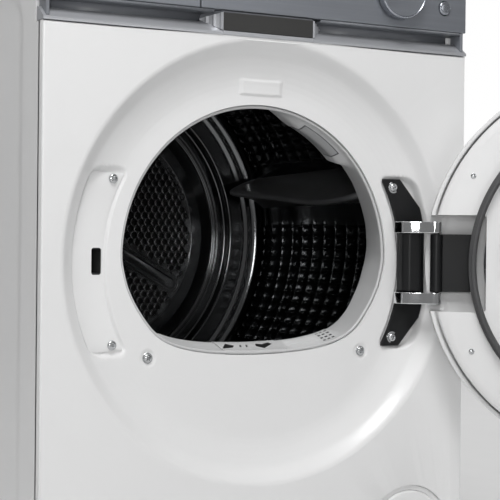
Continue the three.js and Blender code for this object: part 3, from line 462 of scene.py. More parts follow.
def pocket_distance(x, z, shrink=0.0):
    """Signed distance to the edge of the pocket beside the hole, negative inside."""
    corner = 15.0
    radius = np.hypot(x, z)
    across = np.maximum(207.0 - radius, radius - 254.0) + corner + shrink
    upright = np.abs(z) - 112.0 + corner + shrink
    outside = np.hypot(np.maximum(across, 0.0), np.maximum(upright, 0.0))
    return outside + np.minimum(np.maximum(across, upright), 0.0) - corner


def dish_depth(x, z):
    """Depth of the pressed front panel behind its plane, about the dish's centre."""
    radius = np.hypot(x, z)
    depth = np.interp(radius, DISH_PROFILE[:, 0], DISH_PROFILE[:, 1])
    inside = smoothstep(-pocket_distance(x, z) / 3.2)
    depth = depth + (np.maximum(POCKET_DEPTH, depth) - depth) * inside
    boss = np.maximum(np.abs(x + 1.0) - 27.0, np.abs(z - 215.5 - 0.0006 * x * x) - 7.5)
    depth = depth - 2.2 * smoothstep((3.0 - boss) / 3.0) * (boss < 3.0)
    for side in (-1, 1):
        away = np.hypot(x - side * PANEL_SCREW[0], z - PANEL_SCREW[1])
        depth = depth + 1.6 * smoothstep((10.5 - away) / 3.0)
    return depth


def smooth_rows(values, passes=2):
    """Light blur along the first axis, ends kept."""
    for _ in range(passes):
        values[1:-1] = 0.25 * values[:-2] + 0.5 * values[1:-1] + 0.25 * values[2:]
    return values


def latch_outline(grow, radius):
    """Outline of the slot for the door's hook, made larger all round by grow."""
    x0, z0, x1, z1 = LATCH_SLOT
    return rounded_rectangle(x0 - grow, z0 - grow, x1 + grow, z1 + grow, radius)


def open_latch_slot(sheet):
    """Removes the sheet's faces behind the slot for the door's hook."""
    x0, z0, x1, z1 = LATCH_SLOT
    mesh = bmesh.new()
    mesh.from_mesh(sheet.data)
    gone = []
    for face in mesh.faces:
        middle = face.calc_center_median() / MM
        if x0 - 1.5 < middle.x < x1 + 1.5 and z0 - 1.4 < middle.z < z1 + 1.4:
            gone.append(face)
    bmesh.ops.delete(mesh, geom=gone, context="FACES")
    mesh.to_mesh(sheet.data)
    mesh.free()
    return sheet


def dish():
    """The round recess, from the hole's edge out to the flat plate."""
    angle = np.arctan2(CURVE[:, 1], CURVE[:, 0])
    inner = CURVE + CURVE_NORMAL * 0.5
    outer = DISH_OUTER * np.stack([np.cos(angle), np.sin(angle)], axis=1)
    parts = np.linspace(0.0, 1.0, 121)[:, None, None]
    flat = inner[None] * (1 - parts) + outer[None] * parts
    depth = smooth_rows(dish_depth(flat[..., 0], flat[..., 1]))
    edge = [(inner, np.full(len(CURVE), DISH_FLOOR + drop)) for drop in (3.0, 1.0)]
    rings = [np.stack([line[:, 0], deep(level), line[:, 1] + DISH_Z], axis=1)
             for line, level in edge + list(zip(flat, depth))]
    return open_latch_slot(loft("dish", rings, 60.0)), outer


def flat_plate(corners, dish_edge):
    """The panel's flat face, with a round opening for the recess and one for the service cover."""
    around = full_turn(96)
    hole = circle(SERVICE_HOLE, FRONT, around, *SERVICE)[:, [0, 2]]
    points, edges = [], []
    for outline in (corners, [(x, z + DISH_Z) for x, z in dish_edge], hole.tolist()):
        start = len(points)
        points += outline
        edges += [(start + i, start + (i + 1) % len(outline)) for i in range(len(outline))]
    flat_points, _, triangles, *_ = delaunay_2d_cdt([Vector(p) for p in points], edges, [], 0, 1e-4)
    keep = []
    for triangle in triangles:
        cx = sum(flat_points[i][0] for i in triangle) / 3.0
        cz = sum(flat_points[i][1] for i in triangle) / 3.0
        in_dish = math.hypot(cx, cz - DISH_Z) < DISH_OUTER - 0.3
        in_hole = math.hypot(cx - SERVICE[0], cz - SERVICE[1]) < SERVICE_HOLE - 0.1
        if not in_dish and not in_hole:
            keep.append(tuple(triangle))
    return new_object("plate", [(p[0], FRONT, p[1]) for p in flat_points], keep)


def folded_skirt(left, right, low, high, bend):
    """The panel's outer edge, bent backwards."""
    folds = []
    for degrees in range(0, 91, 15):
        turn = math.radians(degrees)
        grow, y = bend * math.sin(turn), FRONT + bend * (1.0 - math.cos(turn))
        folds.append([(left - grow, y, low - grow), (right + grow, y, low - grow),
                      (right + grow, y, high + grow), (left - grow, y, high + grow)])
    folds.append([(x, FRONT + 14.0, z) for x, _, z in folds[-1]])
    return loft("skirt", folds, 60.0)


def front_panel():
    """Pressed sheet: flat plate, dished recess, pockets, and the D-shaped hole."""
    recess, dish_edge = dish()
    bend = 3.0
    left, right = -HALF_WIDTH + bend, HALF_WIDTH - bend
    low, high = PANEL_BOTTOM + bend, PANEL_TOP - bend
    plate = flat_plate([(left, low), (right, low), (right, high), (left, high)], dish_edge)
    skirt = folded_skirt(left, right, low, high, bend)
    lip = ((SERVICE_HOLE, 0), (66.2, 0.15), (65.6, 0.7), (65.4, 1.6), (65.4, 4))
    service_lip = loft("service_lip", [circle(r, deep(d), full_turn(96), *SERVICE) for r, d in lip], 60.0)
    panel = joined("front_panel_skin", recess, plate, skirt, service_lip)
    tidy(panel, 50.0, 0.05)
    for polygon in panel.data.polygons:
        if abs(polygon.normal.y) > 0.99 and polygon.area * 1e6 > 400.0:
            polygon.use_smooth = False
    return place(panel, "cabinet", WHITE, ["front_panel"])


def latch_plate():
    """Plate in the left pocket with the slot for the hook, and a near-black throat behind the slot as painted
    shade.
    """
    outline = []
    for radius, angles in ((211.5, np.linspace(-31.0, 31.0, 41)), (250.0, np.linspace(25.2, -25.2, 31))):
        arc = [(-radius * math.cos(math.radians(a)), radius * math.sin(math.radians(a))) for a in angles]
        outline += [(x, z + DISH_Z) for x, z in arc if abs(z) < 106.5]
    plate = prism("latch_plate_skin", outline, deep(25.9), deep(27.5), 0.5, 2)
    carve(plate, prism("slot", latch_outline(0.0, 3.0), deep(10.0), deep(40.0), 0.0))
    tidy(plate, 30.0)
    place(plate, "cabinet", WHITE, ["latch_plate"])
    # The throat behind the hook's slot is a near-black tube: painted shade of the cavity behind the slot.
    throat = prism("latch_throat_painted_shade", latch_outline(2.0, 4.0), deep(27.6), deep(56.0), 0.0)
    carve(throat, prism("inside", latch_outline(1.0, 3.0), deep(20.0), deep(55.0), 0.0))
    return place(throat, "cabinet", PAINTED_SHADE_BLACK, ())


# ---- Loading tunnel ----
TUNNEL_REAR = 85.0
HOLE_RISE = 5.8
# How far the wall's rear edge lies outside the hole, by height above the dish's centre.
FLARE_HEIGHTS = (-95.0, -87.0, -75.0, -62.0, -40.0, -7.0, 20.0, 49.0, 100.0, 135.0)
FLARE_REACH = (0.0, 3.2, 6.8, 8.9, 8.9, 11.1, 15.6, 17.8, 17.0, 13.7)
LIP_INSET = 2.6
MESH_PITCH = 5.1


def tunnel_offset(depth, x, z):
    """How far the tunnel's wall lies outside the loading hole's edge; x and z from the dish's centre."""
    flare = np.interp(z, FLARE_HEIGHTS, FLARE_REACH)
    flare = flare * np.clip((depth - 30.0) / (TUNNEL_REAR - 30.0), 0.0, 1.0)
    angle = np.degrees(np.arctan2(z - HOLE_RISE, x))
    lamp = smoothstep((angle - 37.0) / 7.0) * smoothstep((82.0 - angle) / 16.0)
    return flare - LIP_INSET - 12.0 * lamp * smoothstep((depth - 31.0) / 24.0)


def tunnel_ring(depth, grow=0.0):
    """Ring of points on the tunnel's wall at one depth."""
    offset = tunnel_offset(depth, CURVE[:, 0], CURVE[:, 1]) + grow
    ring = CURVE + CURVE_NORMAL * offset[:, None]
    return np.stack([ring[:, 0], np.full(len(ring), deep(depth)), ring[:, 1] + DISH_Z], axis=1)


def front_tunnel():
    """Moulded tunnel from the front panel to the drum, with the bulkhead behind it."""
    lip = [tunnel_ring(depth, grow) for depth, grow in (
        (34, 9), (34, 3.4), (33, 2.5), (30, 2.3), (28.4, 1.9), (27.6, 1.1), (27.5, 0.3),
        (28.2, -0.4), (29.2, -0.5))]
    wall = [tunnel_ring(depth) for depth in np.linspace(31.0, TUNNEL_REAR, 26)]
    rim = [tunnel_ring(TUNNEL_REAR + 1.2, 0.8), tunnel_ring(TUNNEL_REAR + 1.6, 3.0)]
    angle = np.arctan2(CURVE[:, 1] + DISH_Z - AXIS_Z, CURVE[:, 0])
    bulkhead = [circle(radius, deep(depth), angle)
                for radius, depth in ((262, 86.6), (276, 86.6), (278, 88), (278, 96))]
    tunnel = loft("front_tunnel_skin", lip + wall + rim + bulkhead, 50.0)
    thicken(tunnel, 1.4, 0.0)
    carve(tunnel, block("chute", (-73.0, deep(41.0), 300.0), (73.0, deep(67.0), 332.0), 0.0))
    tidy(tunnel, 40.0)
    return place(tunnel, "cabinet", PALE, ["front_tunnel"])


def tunnel_patch(name, angles, depths, grow, thickness):
    """Thin plate that lies on the tunnel's wall between two angles and two depths."""
    rows, columns = 25, 41
    angle = np.radians(np.linspace(*angles, columns))
    verts = []
    for depth in np.linspace(*depths, rows):
        ring = tunnel_ring(depth, grow)
        x, z = ring[:, 0], ring[:, 2] - DISH_Z - HOLE_RISE
        order = np.argsort(np.arctan2(z, x))
        radius = np.interp(angle, np.arctan2(z, x)[order], np.hypot(x, z)[order])
        verts += [(r * math.cos(a), deep(depth), DISH_Z + HOLE_RISE + r * math.sin(a))
                  for r, a in zip(radius, angle)]
    patch = new_object(name, verts, grid_faces(rows, columns))
    thicken(patch, thickness, 0.0)
    bake(patch)
    return soften(patch, 0.3, 2)


def lamp_lens():
    """Frosted lens let into the tunnel's upper right, over a slightly larger dark plate that is painted shade
    of the narrow gap round it.
    """
    # Dark plate under the lens: painted shade of the gap round it.
    gap = tunnel_patch("lamp_gap_painted_shade", (46.9, 66.6), (40.0, 80.0), -0.7, 0.5)
    place(gap, "cabinet", TRAY, ())
    lens = tunnel_patch("lamp_lens", (47.5, 66.0), (41.0, 79.0), -0.9, 0.9)
    return place(lens, "cabinet", LENS, ["lamp_cover"])


def sill_height(x, depth):
    """Height of the sill's top: it climbs from the hole's lower edge towards the drum."""
    lower = CURVE[CURVE[:, 1] < -40.0]
    lower = lower[np.argsort(lower[:, 0])]
    edge = np.interp(x, lower[:, 0], lower[:, 1])
    ends = smoothstep((131.0 - np.abs(x)) / 12.0)
    return edge + 4.0 + 7.8 * smoothstep((depth - 28.0) / 34.0) * (0.3 + 0.7 * ends)


def sill_block(name, x0, x1, lift, relief=None):
    """Stretch of the sill: a top that follows the slope, with straight sides."""
    rows, columns = 48, max(int((x1 - x0) * 1.6), 12)
    x, depth = np.meshgrid(np.linspace(x0, x1, columns), np.linspace(29.2, 64.0, rows))
    top = sill_height(x, depth) + lift
    if relief:
        top = top + relief(x, depth)
    verts = np.stack([x, deep(depth), top + DISH_Z], axis=-1).reshape(-1, 3)
    faces = grid_faces(rows, columns)
    rim = list(range(columns)) + [r * columns + columns - 1 for r in range(1, rows)]
    rim += [(rows - 1) * columns + c for c in range(columns - 2, -1, -1)]
    rim += [r * columns for r in range(rows - 2, 0, -1)]
    low = verts[rim].copy()
    low[:, 2] -= 9.0
    start = len(verts)
    for i, corner in enumerate(rim):
        j = (i + 1) % len(rim)
        faces.append((corner, rim[j], start + j, start + i))
    faces.append(tuple(range(start, start + len(rim))))
    obj = tidy(new_object(name, np.concatenate([verts, low]), faces), 40.0, 0.005)
    return soften(obj, 0.8, 2, 50.0)


def sill_ribs(x, depth):
    """Diagonal grooves on the right stretch of the sill."""
    stripe = np.cos((x * 0.75 + depth) * 2.0 * math.pi / 6.5)
    zone = smoothstep((x - 46.0) / 6.0) * smoothstep((104.0 - x) / 8.0)
    zone = zone * smoothstep((60.0 - depth) / 6.0)
    return -1.5 * smoothstep((stripe - 0.5) / 0.3) * zone


def sill():
    """Fixed stretches of the sill beside the lint filter, with vent slots on the right and a near-black plate
    under them as painted shade.
    """
    place(sill_block("sill_left", -129.0, -46.8, 0.0), "cabinet", PALE, ())
    right = sill_block("sill_right", 42.8, 131.0, 0.0, sill_ribs)
    slots = []
    for depth in (36.5, 43.5, 50.5, 57.5):
        for x in (104.0, 110.5, 117.0):
            top = DISH_Z + float(sill_height(x, depth))
            slots.append(block("slot", (x - 2.2, deep(depth - 2.0), top - 5.0),
                               (x + 2.2, deep(depth + 2.0), top + 9.0), 0.0))
    carve(right, joined("slots", *slots))
    tidy(right, 40.0)
    place(right, "cabinet", PALE, ())
    # Near-black plate just under the slots: painted shade seen through them.
    slot_shade = sill_block("sill_slot_painted_shade", 100.0, 121.0, -0.9)
    return place(slot_shade, "cabinet", PAINTED_SHADE_BLACK, ())


def lint_filter():
    """Lift-out filter: raised handle with two arrow slots, and a mesh cassette below it."""
    handle = sill_block("handle", -46.0, 42.0, 1.0)
    arrows = (((-45, 36), (-27, 41), (-22, 49), (-31, 55), (-38, 46)),
              ((7, 44), (15, 36.5), (34, 49), (30, 55), (20, 51), (11, 54)),
              ((-17, 42), (-14.5, 42), (-12, 50), (-14.5, 50)),
              ((-8, 42), (-5.5, 42), (-3, 50), (-5.5, 50)))
    cutters = []
    for arrow in arrows:
        outline = [(x, deep(depth)) for x, depth in arrow]
        cutters.append(prism("arrow", outline, DISH_Z - 112.0, DISH_Z - 80.0, 0.0, 1, "Z"))
    carve(handle, *cutters)
    # Near-black plate under the handle: painted shade seen through the arrow slots.
    place(sill_block("handle_slot_painted_shade", -45.6, 37.0, 0.0), "filter", PAINTED_SHADE_BLACK, ())
    cassette = block("cassette", (-72.0, deep(44.0), 204.0), (72.0, deep(64.0), 318.0), 2.0)
    carve(cassette, *[block("window", (x0, deep(40.0), 214.0), (x0 + 62.0, deep(70.0), 300.0), 0.0)
                      for x0 in (-66.0, 4.0)])
    filter_body = joined("lint_filter_body", handle, cassette)
    tidy(filter_body, 40.0)
    place(filter_body, "filter", PALE, ["lint_filter"])
    wires = []
    for x in -64.0 + MESH_PITCH * np.arange(26):
        if abs(x) > 3.0:
            wires.append(block("wire", (x - 0.4, deep(53.6), 213.0), (x + 0.4, deep(54.4), 301.0), 0.0))
    for z in 217.0 + MESH_PITCH * np.arange(17):
        wires.append(block("wire", (-67.0, deep(53.2), z - 0.4), (67.0, deep(54.0), z + 0.4), 0.0))
    return place(joined("lint_filter_mesh", *wires), "filter", GREY, ())


# ---- Drum ----
DRUM_FRONT = 98.0
DRUM_BACK = 521.0
CELLS_ROUND = 104
CELL_LENGTH = 31.0
CELLS_ALONG = 13
CELLS_START = 106.0
LIFTER_ANGLES = (15.5, 135.5, 255.5)
PILLOW_HEIGHT = 3.0
CELL_STEPS = (0.0, 0.035, 0.07, 0.12, 0.2, 0.34, 0.5, 0.66, 0.8, 0.88, 0.93, 0.965)
DISC_DEPTH = 550.0
DISC_RADIUS = 176.0
HOLE_PITCH = 12.0
HOLE_RIM = ((5.6, 0), (5.2, -0.6), (4.7, -1.4), (4.2, -1.7), (3.8, -1.3), (3.5, -0.2), (3.4, 2))
SPOKE_ANGLES = (-29.3, 90.7, 210.7)
SPOKE_HALF = 12.0
SPOKE_ENDS = (50.0, 157.0)


def pillow(value):
    """Steep-sided hump, one at the middle of each cell and nothing at its edges."""
    across = np.abs(2.0 * (value - np.floor(value)) - 1.0)
    return np.clip(1.0 - across ** 5.0, 0.0, 1.0)


def drum_shell():
    """Drum wall with embossed pillows between the lifters."""
    cells = np.array(CELL_STEPS)
    along = (np.arange(CELLS_ALONG)[:, None] + cells[None]).ravel()
    depth = np.concatenate([[DRUM_FRONT, DRUM_FRONT + 1.0, 102.0], CELLS_START + CELL_LENGTH * along,
                            [CELLS_START + CELL_LENGTH * CELLS_ALONG, 512.0, 517.0, DRUM_BACK]])
    angle = (np.arange(CELLS_ROUND)[:, None] + cells[None, ::2]).ravel() * 360.0 / CELLS_ROUND
    grid_angle, grid_depth = np.meshgrid(angle, depth)
    hump = pillow(grid_angle / 360.0 * CELLS_ROUND) * pillow((grid_depth - CELLS_START) / CELL_LENGTH)
    hump *= (grid_depth > CELLS_START) * (grid_depth < CELLS_START + CELL_LENGTH * CELLS_ALONG)
    for lifter_angle in LIFTER_ANGLES:
        away = np.abs((grid_angle - lifter_angle + 1.5 + 180.0) % 360.0 - 180.0)
        hump *= smoothstep((away - 9.5) / 1.2)
    radius = DRUM_RADIUS - PILLOW_HEIGHT * hump
    radius[0] = 284.6
    rings = list(circle(radius, deep(grid_depth), np.radians(grid_angle)))
    rings += [circle(285.0, deep(back), np.radians(angle)) for back in (DRUM_BACK, DRUM_FRONT)]
    shell = loft("drum_wall", rings + rings[:1], 70.0)
    return place(shell, "drum", DRUM_WALL_SHADED, ["drum_shell"])


def spoke_distance(x, z):
    """Distance to the edge of the nearest spoke, negative inside it; x and z from the axis."""
    nearest = 1e9
    for angle in SPOKE_ANGLES:
        ux, uz = math.cos(math.radians(angle)), math.sin(math.radians(angle))
        along = min(max(x * ux + z * uz, SPOKE_ENDS[0]), SPOKE_ENDS[1])
        nearest = min(nearest, math.hypot(x - ux * along, z - uz * along) - SPOKE_HALF)
    return nearest


def perforated_disc():
    """Rear disc of hexagonally set holes, each with a raised rim."""
    steps = 12
    turn = full_turn(steps) + math.pi / steps
    to_flat = (turn + math.pi / 6.0) % (math.pi / 3.0) - math.pi / 6.0
    cell_edge = HOLE_PITCH / 2.0 / np.cos(to_flat)
    verts, faces = [], []
    for row in range(-18, 19):
        for col in range(-17, 18):
            x = (col + 0.5 * (row % 2)) * HOLE_PITCH
            z = row * HOLE_PITCH * math.sqrt(0.75)
            reach = math.hypot(x, z)
            if reach > DISC_RADIUS - 1.0:
                continue
            start = len(verts)
            verts += circle(cell_edge, deep(DISC_DEPTH), turn, x, AXIS_Z + z).tolist()
            if reach > DISC_RADIUS - 8.0 or reach < 44.0 or spoke_distance(x, z) < 5.4:
                faces.append(tuple(range(start, start + steps)))
                continue
            for radius, back in HOLE_RIM:
                verts += circle(radius, deep(DISC_DEPTH + back), turn, x, AXIS_Z + z).tolist()
            rings = grid_faces(len(HOLE_RIM) + 1, steps, wrap=True)
            faces += [tuple(start + corner for corner in face) for face in rings]
    disc = tidy(new_object("perforated_disc", verts, faces), 60.0, 0.05)
    return place(disc, "drum", DISC_LIT, ())


def drum_back():
    """Stepped pressing round the perforated disc, with the hub and the shaft, and a near-black sheet behind
    the holes as painted shade.
    """
    face = [(283, 513), (279, 519.5), (276, 521.5), (270.5, 524), (265, 524.3), (257, 527.8),
            (246, 528.6), (233.5, 529.5), (230.5, 541), (219, 542.2), (217.6, 541.1), (216, 542.6),
            (214.6, 542.6), (213.2, 541.6), (211.6, 543.2), (208, 543.8), (206.3, 547.2), (203, 547.4),
            (196, 549.8), (176, 550.6), (174.2, 549), (172.4, 550.6), (168, 550.2), (168, 551.8)]
    rear = [(181, 552.4), (230, 541), (258, 530), (283, 521), (283, 513)]
    profile = [(r, deep(d)) for r, d in rounded(face, 3.0, 5) + rear]
    steps = turned("drum_rear_steps", profile, 0.0, AXIS_Z, 288, 80.0)
    place(steps, "drum", DRUM, ["drum_back"])
    hub_profile = ((0, 541), (20, 542), (34, 545), (42, 549), (46, 549.6), (46, 552.5),
                   (24, 553), (8, 562), (8, 594), (0, 594))
    hub = turned("drum_hub", deep_line(hub_profile), 0.0, AXIS_Z)
    place(hub, "drum", DRUM, ())
    # Near-black sheet behind the perforated disc: painted shade seen through its holes.
    sheet = ((24, 553), (168, 553), (168, 554), (24, 554), (24, 553))
    disc_shade_sheet = turned("disc_painted_shade_sheet", deep_line(sheet), 0.0, AXIS_Z)
    return place(disc_shade_sheet, "drum", PAINTED_SHADE_BLACK, ())


def spokes():
    """Three smooth radial pads on the rear disc, each in its own groove."""
    for number, angle in enumerate(SPOKE_ANGLES):
        rings = []
        for grow, back in ((3.2, 0.4), (2.4, -1), (1.2, -1.4), (0.2, -1), (-0.8, 0.6), (-1.8, 1),
                           (-2.8, 0.3), (-4, -0.6), (-6.5, -1.1), (-9.5, -1.4), (-11.6, -1.5)):
            half = SPOKE_HALF + grow
            outline = []
            for centre, start in ((SPOKE_ENDS[1], -90.0), (SPOKE_ENDS[0], 90.0)):
                for step in range(17):
                    t = math.radians(start + 180.0 * step / 16.0)
                    outline.append((centre + half * math.cos(t), half * math.sin(t)))
            c, s = math.cos(math.radians(angle)), math.sin(math.radians(angle))
            rings.append(np.array([(u * c - v * s, deep(DISC_DEPTH + back), AXIS_Z + u * s + v * c)
                                   for u, v in outline]))
        base = rings[0].copy()
        base[:, 1] = deep(DISC_DEPTH + 2.0)
        pad = loft(f"spoke_{number + 1}", [base] + rings, 50.0, caps=True)
        place(pad, "drum", DISC_LIT, ())


# Where the lifter's crest and its two edges lie round the drum: depth, degrees.
LIFTER_MIDDLE = 15.5
LIFTER_CREST = np.array([(120, 15.4), (165, 13.9), (205, 13.1), (250, 12.8), (303, 13.9), (363, 15.4),
                         (453, 17.2), (505, 18.5)])
LIFTER_UPPER = np.array([(120, 21.6), (251, 21), (371, 20.3), (505, 19.4)])
LIFTER_LOWER = np.array([(120, 10.2), (300, 9.9), (505, 9.4)])
LIFTER_HEIGHT = 61.0


def lifter_section(depth, turn):
    """Cross section of a lifter, in the plane at one depth, its foot on the drum's wall."""
    end = min((depth - 121.0) / 24.0, (505.0 - depth) / 22.0, 1.0)
    rise = math.sqrt(max(1.0 - (1.0 - end) ** 2, 0.0))
    height = 3.0 + LIFTER_HEIGHT * rise
    base, top = DRUM_RADIUS - 0.6, DRUM_RADIUS - height
    crest, upper, lower = (math.radians(np.interp(depth, line[:, 0], line[:, 1]) - LIFTER_MIDDLE)
                           for line in (LIFTER_CREST, LIFTER_UPPER, LIFTER_LOWER))
    crest, upper, lower = crest * top, upper * base, lower * base
    flank = base - 0.42 * height
    outline = rounded([(upper, base + 0.4), (upper - 1.0, base - 3.0 * rise),
                       (crest * 0.45 + upper * 0.55 - 1.6 * rise, flank), (crest + 5.0, top + 5.0 * rise),
                       (crest + 3.0, top), (crest - 3.0, top), (crest - 5.5, top + 6.0 * rise),
                       (crest * 0.5 + lower * 0.5 + 1.0 * rise, flank), (lower + 1.0, base - 3.0 * rise),
                       (lower, base + 0.4)], 9.0, 5)
    c, s = math.cos(turn), math.sin(turn)
    return [(r * c - t * s, deep(depth), AXIS_Z + r * s + t * c) for t, r in outline]


def lifter(number, angle):
    """Wavy paddle that carries the laundry up."""
    depths = np.concatenate([[121, 121.6, 123, 126, 131, 137], np.linspace(145, 482, 40),
                             [488, 494, 499, 502.5, 504.4, 505]])
    sections = [lifter_section(depth, math.radians(angle)) for depth in depths]
    paddle = loft(f"lifter_{number + 1}", sections, 60.0, caps=True)
    return place(paddle, "drum", LIFTER, [f"lifter_{'abc'[number]}"])


# ---- Control panel ----
KNOB = (190.0, 779.0)
KNOB_FRONT = FRONT - 11.5
BUTTON_X = 262.0
BUTTONS = (("start_button", "start_key", 792.0), ("option_button", "option_key", 764.0))
DRAWER_EDGE = -98.0
FASCIA_LOW = 734.0
FASCIA_HIGH = 814.5
BADGE_X = (-67.0, 59.0)
BADGE_Z = (709.5, 731.0)


def front_plate(name, x0, x1, cutters=()):
    """Bevelled fascia plate with a turned-in rim behind it."""
    rim = 3.0
    plate = block(name, (x0, FRONT, FASCIA_LOW), (x1, deep(22.0), FASCIA_HIGH), 1.4, 4)
    inside = block("inside", (x0 + rim, deep(rim), FASCIA_LOW + rim),
                   (x1 - rim, deep(30.0), FASCIA_HIGH - rim), 0.0)
    return weigh_normals(carve(plate, inside, *cutters))


def ring_hole(x, z, radius):
    """Cutter for a round hole through the fascia."""
    profile = [(0.0, deep(-5.0)), (radius, deep(-5.0)), (radius, deep(10.0)), (0.0, deep(10.0))]
    return turned("hole", profile, x, z, 72)


def control_panel():
    """Fascia, the drawer's front beside it, and the two buttons."""
    holes = [ring_hole(BUTTON_X, z, 10.0) for _, _, z in BUTTONS] + [ring_hole(*KNOB, 12.0)]
    main = front_plate("fascia_plate", DRAWER_EDGE + 0.6, HALF_WIDTH, holes)
    place(main, "cabinet", FASCIA, ["fascia"])
    drawer = front_plate("drawer_plate", -HALF_WIDTH, DRAWER_EDGE - 0.6)
    place(drawer, "water_drawer", FASCIA, ["drawer_front"])
    dome = ((0, -3), (4, -2.9), (7.6, -2.4), (8.6, -1.6), (9, -0.6), (9, 5), (0, 5))
    for node, body, z in BUTTONS:
        cap = turned(node + "_cap", deep_line(dome), BUTTON_X, z, 64)
        place(cap, body, KNOB_RIM, [node])


def knob():
    """Programme knob: flat brushed face, bright chamfer, finely ribbed side."""
    face = KNOB_FRONT
    angle = full_turn(360)
    ribs = 0.35 * (np.cos(angle * 90.0) > 0.0)
    side = ((35.4, face + 2.4, 0.0), (35.6, face + 3.2, 1.0), (35.8, deep(-3.0), 1.0),
            (35.8, deep(-2.0), 0.0), (34.6, deep(-0.8), 0.0), (12.0, deep(-0.8), 0.0),
            (8.0, deep(-0.8), 0.0), (8.0, deep(7.0), 0.0), (0.01, deep(7.0), 0.0))
    body = loft("knob_side", [circle(r - ribs * ribbed, y, angle, *KNOB) for r, y, ribbed in side], 30.0)
    place(body, "knob", KNOB_FACE, ["programme_knob"])
    chamfer = [(33.4, face + 0.3), (33.6, face), (34.2, face + 0.2), (35.3, face + 1.6), (35.4, face + 2.4),
               (30.0, face + 2.4), (33.4, face + 0.3)]
    place(turned("knob_chamfer", chamfer, *KNOB, 180), "knob", KNOB_RIM, ())
    disc = [(0.0, face + 0.9), (20.0, face + 0.8), (32.2, face + 0.3), (32.7, face + 0.7), (32.7, face + 4.0),
            (0.0, face + 4.0)]
    cap = turned("knob_face", disc, *KNOB, 180)
    x, z = KNOB
    carve(cap, block("mark", (x - 0.8, face - 1.0, z + 20.0), (x + 0.8, face + 1.6, z + 31.0), 0.0))
    return place(tidy(cap, 30.0), "knob", KNOB_FACE, ())


def grip_channels(half):
    """Dark undercut on either side of the badge, with its end caps."""
    bowl = rounded([(deep(2.0), 733.4), (deep(2.0), 731.4), (deep(23.0), 731.4), (deep(26.0), 726.0),
                    (deep(26.0), 712.0), (deep(20.6), 710.0)], 6.0, 6)
    for name, x0, x1 in (("left", -half, BADGE_X[0] - 12.0), ("right", BADGE_X[1] + 12.0, half)):
        verts = [(x, y, z) for x in (x0, x1) for y, z in bowl]
        channel = tidy(new_object(f"grip_{name}", verts, grid_faces(2, len(bowl))), 40.0)
        replaced = ["grip_rail"] if name == "left" else ()
        place(thicken(channel, 1.6, 0.0), "cabinet", GRIP, replaced)
    for name, x0, x1 in (("left", -half, 4.0 - half), ("right", half - 4.0, half)):
        cap = block(f"grip_end_{name}", (x0, deep(1.0), 709.0), (x1, deep(28.0), 733.4), 0.8)
        place(cap, "cabinet", GRIP, ())


def grip_lip():
    """Light sloping strip below the grip, lower in the middle where the badge is."""
    line = [(deep(-1.0), 703.7), (deep(-1.0), 706.8), (deep(15.5), 719.4), (deep(18.0), 720.4),
            (deep(19.8), 719.6), (deep(19.8), 703.7), (deep(-1.0), 703.7)]
    section = rounded(line, 1.6, 4)[:-1]
    left, right = BADGE_X[0] - 0.6, BADGE_X[1] + 0.6
    for name, x0, x1 in (("left", -HALF_WIDTH, left), ("right", right, HALF_WIDTH)):
        ends = [[(x, y, z) for y, z in section] for x in (x0, x1)]
        replaced = ["lower_trim"] if name == "left" else ()
        place(loft(f"lip_{name}", ends, 35.0, caps=True), "cabinet", TRIM, replaced)
    under = block("lip_middle", (left, deep(-1.0), 703.7), (right, deep(10.0), 708.9), 0.8)
    place(under, "cabinet", TRIM, ())


def badge_wedge(name, edge, side):
    """Flared, ribbed side of the badge."""
    low, high = 709.2, 731.2
    sections = []
    for t in np.linspace(0.0, 1.0, 61):
        rib = 0.91 * max(math.sin(t * 2.0 * math.pi * 3.2), 0.0) * (0.06 < t < 0.97)
        x = edge + side * (0.4 + 22.0 * t + rib)
        y = deep(0.3 + 21.0 * t) - rib
        bottom, top = low + 13.3 * t, high - 7.2 * t
        sections.append(np.array([(x, y, bottom), (x, y, top), (x - side * 2.5, y + 3.0, top),
                                  (x - side * 2.5, y + 3.0, bottom)]))
    wedge = loft(f"badge_wedge_{name}", sections, 35.0, caps=True)
    place(wedge, "cabinet", TRIM, ())


def grip():
    """Dark undercut grip, its sloping lip, and the blank badge in the middle with flared sides."""
    grip_channels(HALF_WIDTH - 4.0)
    grip_lip()
    (x0, x1), (low, high) = BADGE_X, BADGE_Z
    badge = block("badge_plate", (x0, FRONT, low), (x1, deep(2.2), high), 0.35, 2)
    place(badge, "cabinet", BADGE, ["badge_blank"])
    flare = 22.0
    outline = [(x0, deep(2.4)), (x1, deep(2.4)), (x1 + flare, deep(27.0)), (x0 - flare, deep(27.0))]
    core = prism("badge_block", outline, 709.2, 733.2, 0.4, 2, "Z")
    place(core, "cabinet", GRIP, ())
    badge_wedge("left", x0, -1)
    badge_wedge("right", x1, 1)


# ---- Screws and hinge ----


